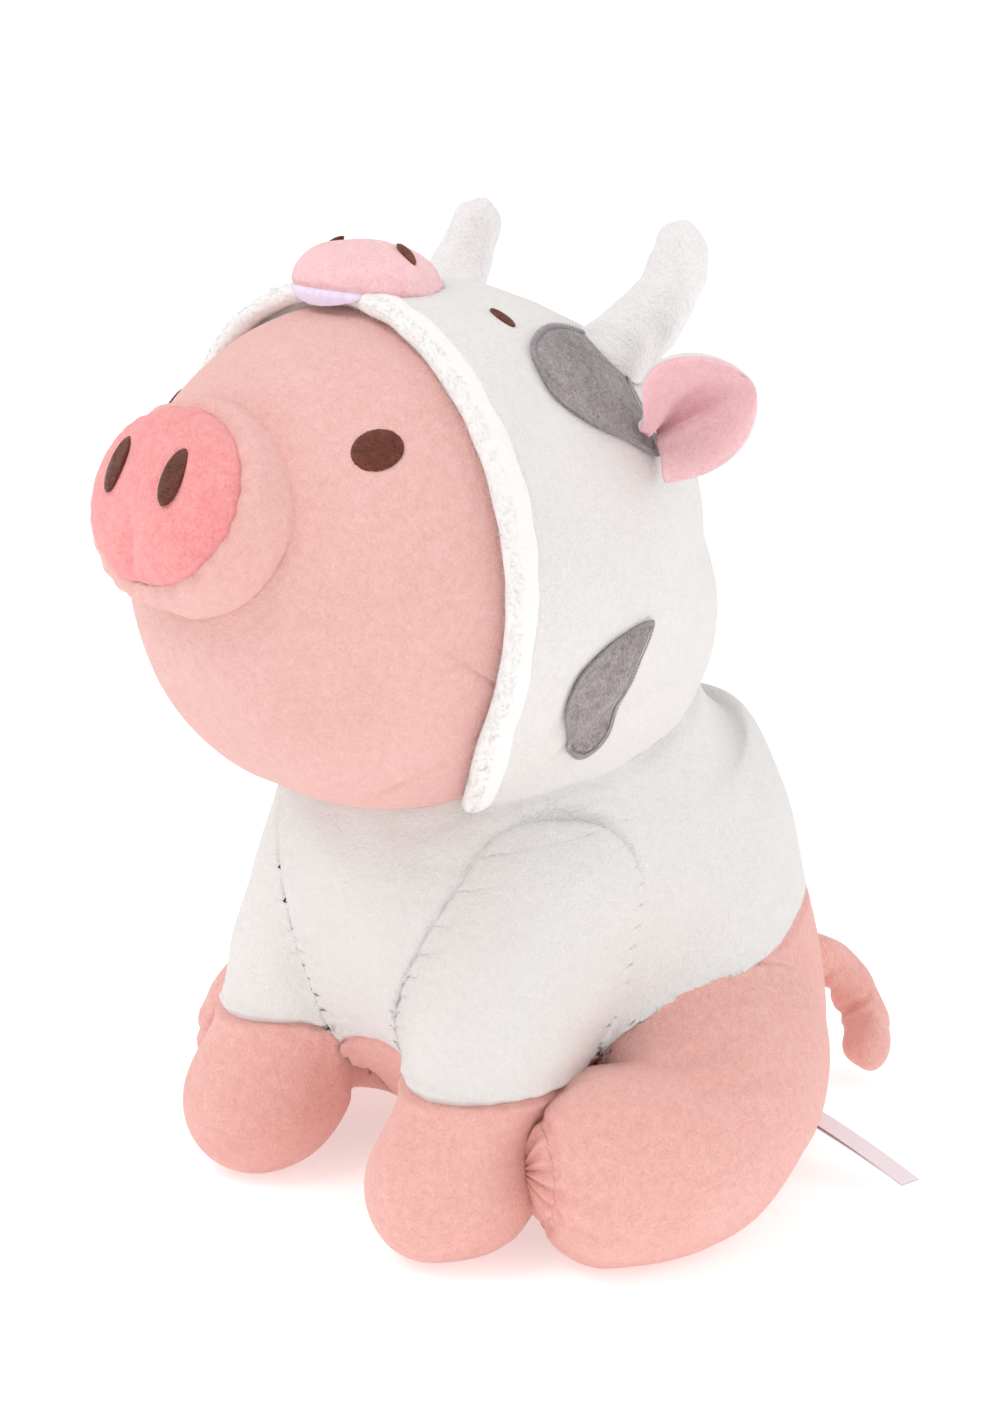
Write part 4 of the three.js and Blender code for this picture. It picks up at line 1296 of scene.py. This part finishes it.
def rim_line(t):
    """The rim's middle line: round the face at t from -1 to 1 times its end angle from the crown."""
    angle = t * RIM_END
    ease = HOOD_EASE + SHELL_OUT / 2 + 0.8
    ahead = rim_y(angle)
    level = np.sqrt(1 - (ahead / (HEAD_FRONT + ease)) ** 2)
    tall = np.where(np.cos(angle) < 0, HEAD_CHIN, HEAD_TOP)
    return np.stack(
        [
            np.sin(angle) * (HEAD_WIDE + ease) * level,
            ahead,
            HEAD[2] + np.cos(angle) * (tall + ease) * level,
        ],
        -1,
    )


t = np.linspace(-1, 1, 260)
line = rim_line(t)
tangent = unit(np.gradient(line, axis=0))
outward = unit(line - HEAD)
outward = unit(outward - tangent * (outward * tangent).sum(1, keepdims=True))
third = np.cross(tangent, outward)
a = np.arange(20) / 20 * 2 * np.pi
round_end = np.sqrt(np.clip(1 - (np.abs(t) - 0.985).clip(0) ** 2 / 0.015**2, 0.02, 1))
thick = (RIM_RADIUS * (1 + 0.06 * lumps(line, 14, 51)) * round_end)[:, None, None]
across = np.sin(a)[None, :, None] * third[:, None]
back = np.where(across[..., 1:2] > 0, 2.0, 1.15)  # drawn out over the shell
grid = line[:, None] + thick * (np.cos(a)[None, :, None] * outward[:, None] + back * across)
points, faces = closed_skin(grid, line[0], line[-1])


TUFTS, TUFT_LONG, TUFT_WIDE = 4500, 1.2, 0.12


def tufts(points, quads, count, long, wide, seed):
    """Pile on a mesh: small closed spikes, each a three-sided point that leans at random. Their
    roots are spread over the quads by area, and each is shaded as the skin it stands on."""
    random = np.random.default_rng(seed)
    a, b, c, d = (points[quads[:, i]] for i in range(4))
    across = np.cross(c - a, d - b)
    area = np.linalg.norm(across, axis=1)
    pick = random.choice(len(quads), count, p=area / area.sum())
    s, t = random.random((2, count, 1))
    root = (a[pick] * (1 - s) + b[pick] * s) * (1 - t) + (d[pick] * (1 - s) + c[pick] * s) * t
    out = unit(across[pick])
    lean = random.normal(size=(count, 3)) * 0.45
    tip = root + unit(out + lean) * (long * random.uniform(0.5, 1.1, (count, 1)))
    side = unit(np.cross(out, random.normal(size=(count, 3))))
    other = np.cross(out, side)
    sunk = root - out * 0.25
    corners = [sunk + wide * (np.cos(k) * side + np.sin(k) * other) for k in (0, 2.0944, 4.1888)]
    made = np.stack([*corners, tip], 1).reshape(-1, 3)
    base = np.arange(count)[:, None] * 4
    spikes = np.vstack([base + [0, 1, 3], base + [1, 2, 3], base + [2, 0, 3], base + [2, 1, 0]])
    return made, spikes, np.repeat(out, 4, axis=0)


quads = np.array([f for f in faces if len(f) == 4])
middles = points[quads].mean(1)
ahead = middles[:, 1] < rim_y(from_crown(middles)) - 0.6
rim_tufts, rim_spikes, rim_ways = tufts(points, quads[ahead], TUFTS, TUFT_LONG, TUFT_WIDE, 52)
all_points = np.vstack([points, rim_tufts])
all_faces = faces + (rim_spikes + len(points)).tolist()
shading = np.vstack([normals_at(points, quads), rim_ways])
# The roll wears the lighter painted copy of the white plush, as painted light against the shade among its
# tufts.
piece("hood_rim_roll", all_points, all_faces, rim_plush_painted_light, "body", "hood_edge", "white_plush", shading=shading)

# %% [markdown]
# ## The cow's face on the hood
# A pink pad on the brow is the cow's muzzle, with a lavender panel below, and its nostrils and eyes
# are satin stitch. Two plush horns and two lined ears stand on the hood.

# %% Muzzle pad
MUZZLE_AT = HEAD + np.array([0, -5.5, 79.0])
MUZZLE = np.array([25.0, 19.5, 14.5])
UNDER = -1.8
MUZZLE_TILT = np.radians(8)


def tilted(off, back=False):
    """Offsets from the muzzle's middle, turned about X so that the front edge is raised, or back."""
    c, s = np.cos(MUZZLE_TILT), np.sin(MUZZLE_TILT) * (-1 if back else 1)
    x, y, z = off[..., 0], off[..., 1], off[..., 2]
    return np.stack([x, y * c + z * s, z * c - y * s], -1)


def muzzle_skin(n, grow=0.0):
    """An egg whose ends are blunted: x goes with the 0.92nd power of its direction."""
    x = np.sign(n[..., 0]) * np.abs(n[..., 0]) ** 0.92
    return MUZZLE_AT + tilted(np.stack([x, n[..., 1], n[..., 2]], -1) * (MUZZLE + grow))


UP, ROUND = around(np.linspace(-np.pi / 2, np.pi / 2, 42)[1:-1], 80)
way = np.stack([np.cos(UP) * np.cos(ROUND), np.cos(UP) * np.sin(ROUND), np.sin(UP)], -1)
poles = [muzzle_skin(np.array([0, 0, up]), -0.6) for up in (-1.0, 1.0)]
points, quads, _ = soft_form("muzzle_form", muzzle_skin(way, -0.6), *poles, cap=1.2)
normals = normals_at(points, quads)
points = lumpy(points, normals, 0.3, 18, 61)
off = tilted(points - MUZZLE_AT, back=True)
spin = np.arctan2(off[:, 1], off[:, 0])
seam_gap = off[:, 2] - UNDER
points = points - normals * (1.0 * bell(seam_gap, 1.0))[:, None]
gather = 0.25 * np.cos(spin * 30 + 1.5 * np.sin(4 * spin)) * bell(seam_gap, 3)
points = points + normals * gather[:, None]
outward = unit(points - HEAD)


def depth_under_pad(points):
    """How deep points lie in the hood, or in the bare head in front of the hood's rim."""
    over_hood = np.clip((points[:, 1] + 25) / 5, 0, 1)
    return depth_in_head(points, -0.5 + (SHELL_OUT + 0.5) * over_hood, True)


points = pressed_clear(points, outward, depth_under_pad, 0.3)
upper = tilted(points[quads].mean(1) - MUZZLE_AT, back=True)[:, 2] > UNDER
pad = capped(*cut_out(points, quads, upper), np.array([0, 0, 1.5]))
piece("muzzle_pad", *pad, pad_plush, "body", "muzzle", "pad_plush", fill=0.8)
panel = capped(*cut_out(points, quads, ~upper), np.array([0, 0, -0.3]))
piece("muzzle_panel", *panel, lavender_cloth, "body", "muzzle_underside", "lavender_lining", fill=0.6)


def muzzle_at(across, ahead, side=1):
    """at_skin on the muzzle's top."""

    def at_skin(x, y, height):
        px, py = across + x, -ahead + y
        nx = np.abs(px / MUZZLE[0]) ** (1 / 0.92)
        inside = np.maximum(1 - nx**2 - (py / MUZZLE[1]) ** 2, 0)
        points = MUZZLE_AT + tilted(np.stack([px, py, np.sqrt(inside) * MUZZLE[2] + height], -1))
        return points * (MIRROR if side < 0 else 1)

    return at_skin


def hood_at(across, back, side=1):
    """at_skin on the hood, above a place on the level."""

    def at_skin(x, y, height):
        px, py = across + x, back + y
        half = np.array([HEAD_WIDE, HEAD_BACK, HEAD_TOP]) + HOOD_EASE + SHELL_OUT
        pz = np.sqrt(np.maximum(1 - (px / half[0]) ** 2 - (py / half[1]) ** 2, 0)) * half[2]
        return on_hood(unit(np.stack([px, py, pz], -1) * (MIRROR if side < 0 else 1)), height)

    return at_skin


for side, word in SIDES:
    nostril, eye = muzzle_at(17.0, 0.5, side), hood_at(38, 14, side)
    node = f"muzzle_nostril_{word}"
    satin(node + "_stitched", nostril, 4.4, 1.7, 0.0, node, 0.5, 0.5)
    satin(f"hood_eye_{word}_stitched", eye, 4.9, 1.8, 0.0, f"hood_eye_{word}", 0.5, 0.3)

# %% Horns
points, quads, _ = stuffed("horn", HORN, eased(30), 40, -0.4, 1.0, 0.5, 12, 71)
outward = unit(points - HEAD)
points = pressed_clear(points, outward, lambda p: depth_in_head(p, SHELL_OUT, True), 0.3)
for side, word in SIDES:
    horn = on_side(side, points, quads)
    piece(f"horn_{word}_stuffed", *horn, horn_plush, "body", f"horn_{word}", "horn_plush", fill=0.9)

# %% Ears
EAR_LONG, EAR_WIDE, EAR_STUB = 36.0, 19.0, 6.0
EAR_FOLD = np.radians(72)
EAR_TURN, EAR_TIP = np.radians(20), np.radians(30)
EAR_ROOT = HEAD + np.array([67.0, 45, 35.8])


def ear_leaf(u, v, sunk, shorter):
    """A leaf curled round its own length: its half width goes with the root of an ellipse, and
    across it turns through the fold angle, more so in its upper half, which rolls over. It is
    narrower at the root. A crease runs out from there. sunk is the depth below its outer face."""
    belly = np.maximum(1 - (np.abs(u - 0.35) / 0.665) ** 2.6, 0.03) ** 0.45
    belly = belly * (1 - np.where(v > 0, 0.62, 0.1) * bell(u, 0.3))
    radius = EAR_WIDE * belly / np.sin(EAR_FOLD)
    rolled = 1 + 0.8 * np.maximum(v, 0) ** 2 * (1 - 0.75 * u)
    angle = v * (EAR_FOLD - shorter / EAR_WIDE) * rolled
    crease = 6.0 * bell(v - 0.2, 0.16) * np.clip((0.82 - u) / 0.45, 0, 1) ** 0.8
    reach = radius - sunk + crease
    return np.stack(
        [
            EAR_STUB / 2 + (EAR_LONG - shorter) * u,
            reach * np.cos(angle) - radius * (0.4 * np.cos(EAR_FOLD) + 0.6),
            reach * np.sin(angle),
        ],
        -1,
    )


def ear_placed(points):
    """Tips the ear, turns it round and puts it on the hood."""
    c, s = np.cos(EAR_TIP), np.sin(EAR_TIP)
    x, z = points[..., 0] * c - points[..., 2] * s, points[..., 0] * s + points[..., 2] * c
    y = points[..., 1]
    c, s = np.cos(EAR_TURN), np.sin(EAR_TURN)
    return EAR_ROOT + np.stack([x * c - y * s, x * s + y * c, z], -1)


def slab(top, bottom):
    """Points and faces of a closed slab between two grids of the same size."""
    rows, cols = top.shape[:2]
    count = rows * cols
    r, c = np.meshgrid(np.arange(rows - 1), np.arange(cols - 1), indexing="ij")
    here = r * cols + c
    quads = np.stack([here, here + 1, here + cols + 1, here + cols], -1).reshape(-1, 4)
    to_right, down = np.arange(cols), np.arange(1, rows) * cols + cols - 1
    to_left, back = rows * cols - 2 - np.arange(cols - 1), (rows - 2 - np.arange(rows - 2)) * cols
    rim = np.concatenate([to_right, down, to_left, back])
    following = np.roll(rim, -1)
    walls = np.stack([following, rim, rim + count, following + count], -1)
    faces = np.vstack([quads, quads[:, ::-1] + count, walls])
    points = np.vstack([top.reshape(-1, 3), bottom.reshape(-1, 3)])
    return points, faces[:, ::-1] if inside_out(points, faces) else faces


u, v = np.meshgrid(np.linspace(0, 1, 60), np.linspace(-1, 1, 70), indexing="ij")
u = np.sin(u * np.pi / 2)
plump = np.sqrt(np.clip(1 - v**4, 0, 1)) * np.sqrt(np.clip(1 - u**8, 0, 1))
outer_top = ear_leaf(u, v * 0.98, 2.2 - 2.0 * plump, 0.6)
outer_low = ear_leaf(u, v * 0.98, 2.6 + 0 * u, 0.6)
inner_top = ear_leaf(u, v, 2.4 - 0.5 * plump, 0.0)
inner_low = ear_leaf(u, v, 2.5 + 3.6 * plump, 0.0)
for side, word in SIDES:
    flip = MIRROR if side < 0 else 1
    for kind, top, low, material, node, slot in (
        ("ear_leaf", outer_top, outer_low, white_plush, "ear_outer", "white_plush"),
        ("ear_pink", inner_top, inner_low, pad_plush, "ear_inner", "pad_plush"),
    ):
        ear = slab(ear_placed(top) * flip, ear_placed(low) * flip)
        piece(f"{kind}_{word}", *ear, material, f"ear_{word}", f"{node}_{word}", slot, fill=0.5)

# %% [markdown]
# ## Grey patches
# Two grey plush patches are sewn on the near side of the hood, each edged with a dense zigzag of
# grey thread that holds it down.

# %% Patches with their zigzag
UPPER_PATCH = [
    [123, 53], [103.4, 50], [99, 40.4], [105, 32.3], [116.5, 25.3],
    [124, 21.3], [128, 26], [132.6, 33.3], [139, 38.2], [146, 43],
]
LOWER_PATCH = [
    [112.6, -9], [110.8, -17.4], [110.2, -26], [109.6, -32.5], [106.5, -37.5],
    [101.5, -36.5], [96.3, -30], [94, -23], [96, -16.5], [103, -11.5],
]


def ring_through(corners, count):
    """A smooth closed ring through corners, as unit directions from the head's middle."""
    ways = np.array([aim(a, b) for a, b in corners])
    loop = np.vstack([ways[-1], ways, ways[:2]])
    t = np.arange(count) / count * len(corners)
    k = t.astype(int)
    w = (t - k)[:, None]
    a, b, c, d = (loop[k + i] for i in range(4))
    square, cubic = 2 * a - 5 * b + 4 * c - d, 3 * b - a - 3 * c + d
    return unit(0.5 * (2 * b + (c - a) * w + square * w**2 + cubic * w**3))


RING_POINTS = 240
THREAD_RADIUS = 0.18


def patch(name, corners, replaces):
    """A thin crowned patch on the hood and a zigzag thread along its edge."""
    ring = ring_through(corners, RING_POINTS)
    middle = unit(ring.mean(0))
    r = np.linspace(0, 1, 50)[1:]
    ways = unit(middle + r[:, None, None] * (ring[None] - middle))
    height = 0.35 + 0.75 * (1 - r**6)[:, None] ** 0.5 + 0 * ways[..., 0]
    grid = np.vstack([on_hood(ways, height), on_hood(ways[::-1], -0.6)])
    points, faces = closed_skin(grid, on_hood(middle, 1.1), on_hood(middle, -0.6))
    piece(name, points, faces, grey_plush, "body", replaces, "grey_plush")
    skin = on_hood(ring)
    run = np.linalg.norm(np.diff(np.vstack([skin, skin[:1]]), axis=0), axis=1).sum()
    stitches = int(run / THREAD_PITCH)
    k = np.arange(stitches * 2)
    share = k / (stitches * 2)
    at = share * RING_POINTS
    i = at.astype(int) % RING_POINTS
    w = (at - at.astype(int))[:, None]
    way = unit(ring[i] * (1 - w) + ring[(i + 1) % RING_POINTS] * w)
    inward = unit(middle - way)
    base = on_hood(way)
    zig = base + inward * np.where(k % 2 == 0, 1.5, -0.9)[:, None] + way * 1.15
    rounds = np.arange(5) / 5 * 2 * np.pi
    here, there = zig, np.roll(zig, -1, axis=0)
    along = unit(there - here)
    side = unit(np.cross(along, way))
    lift = np.cross(side, along)
    circle = np.cos(rounds)[None, :, None] * side[:, None] + np.sin(rounds)[None, :, None] * lift[:, None]
    circle = THREAD_RADIUS * circle
    start, end = here[:, None] + circle, there[:, None] + circle
    thread_points = np.stack([start, end], 1).reshape(-1, 3)
    first = (np.arange(len(zig)) * 10)[:, None]
    j = np.arange(5)
    walls = [first + [a, b, 5 + b, 5 + a] for a, b in zip(j, (j + 1) % 5)]
    caps = [first + j[::-1], first + 5 + j]
    faces = np.vstack(walls).tolist() + np.vstack(caps).tolist()
    piece(name + "_zigzag", thread_points, faces, grey_thread, "body", None, "grey_plush")


patch("patch_upper_cloth", UPPER_PATCH, "patch_upper")
patch("patch_lower_cloth", LOWER_PATCH, "patch_lower")

# %% [markdown]
# ## Tail and label
# The tail is a thin stuffed tube that droops and bends, with creases inside its bends. The label is
# a plain ribbon, folded once and sewn into the left side seam.

# %% Tail
points, quads, normals = stuffed("tail_form", TAIL, eased(44), 36, -0.4, 1.0, 0.5, 12, 81)
for share, start, end in ((0.4, 20, 200), (0.52, 60, 260), (0.66, 0, 170)):
    share = share + 0.03 * np.sin(np.linspace(0, 3, 24))
    bend = limb_skin(TAIL, share, np.radians(np.linspace(start, end, 24)))
    points = sewn(points, normals, bend, deep=1.3, wide=1.3, lift=0.6, pucker=0.2, pitch=9, fade=0.3)
points[:, 2] = np.maximum(points[:, 2], 0.0)
piece("tail_stuffed", points, quads, paw_plush, "tail", "tail", "paw_plush", fill=0.7)

# %% Label
LABEL_ROOT, LABEL_TIP = np.array([64.5, 116.8, 18.1]), np.array([107.0, 126, 2])
LABEL_WIDE = 13.0
LABEL_ROLL = np.radians(12)  # its outer edge hangs lower
away = LABEL_TIP - LABEL_ROOT
long = np.linalg.norm(away)
away = away / long
flat_way = unit(np.cross([0, 0, 1.0], away))
flat_way = flat_way * np.cos(LABEL_ROLL) - np.cross(away, flat_way) * np.sin(LABEL_ROLL)
face_way = np.cross(away, flat_way)
S, W = np.meshgrid(np.linspace(0, 1, 80), np.linspace(-0.5, 0.5, 18), indexing="ij")
FOLD_SHARE = 0.06
out_run = np.where(S < 0.5, S * 2, 2 - S * 2)
loop_up = 0.55 * np.cos(np.pi * S) * np.clip((1 - out_run) / FOLD_SHARE, 0, 1) ** 0.5
curl = 0.6 * np.sin(np.pi * out_run)
label_low = (
    LABEL_ROOT
    + away * (out_run * (long - 0.3))[..., None]
    + flat_way * (W * LABEL_WIDE)[..., None]
    + face_way * (0.6 + loop_up + curl)[..., None]
)
label_grid_normals = np.sign(0.5 - S)[..., None] * face_way
points, faces = slab(label_low + label_grid_normals * 0.12, label_low - label_grid_normals * 0.12)
label = piece("label_ribbon", points, faces, ribbon_cloth, "label", "label", "ribbon")

# %% [markdown]
# ## Fillings
# The fibre in the head and the body lies inside the covers. It keeps its solids and only gets its
# material.

# %% Fibre
for node in ("head_filling", "torso_filling"):
    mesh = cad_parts[node].data
    mesh.materials.clear()
    mesh.materials.append(fibre_fill)
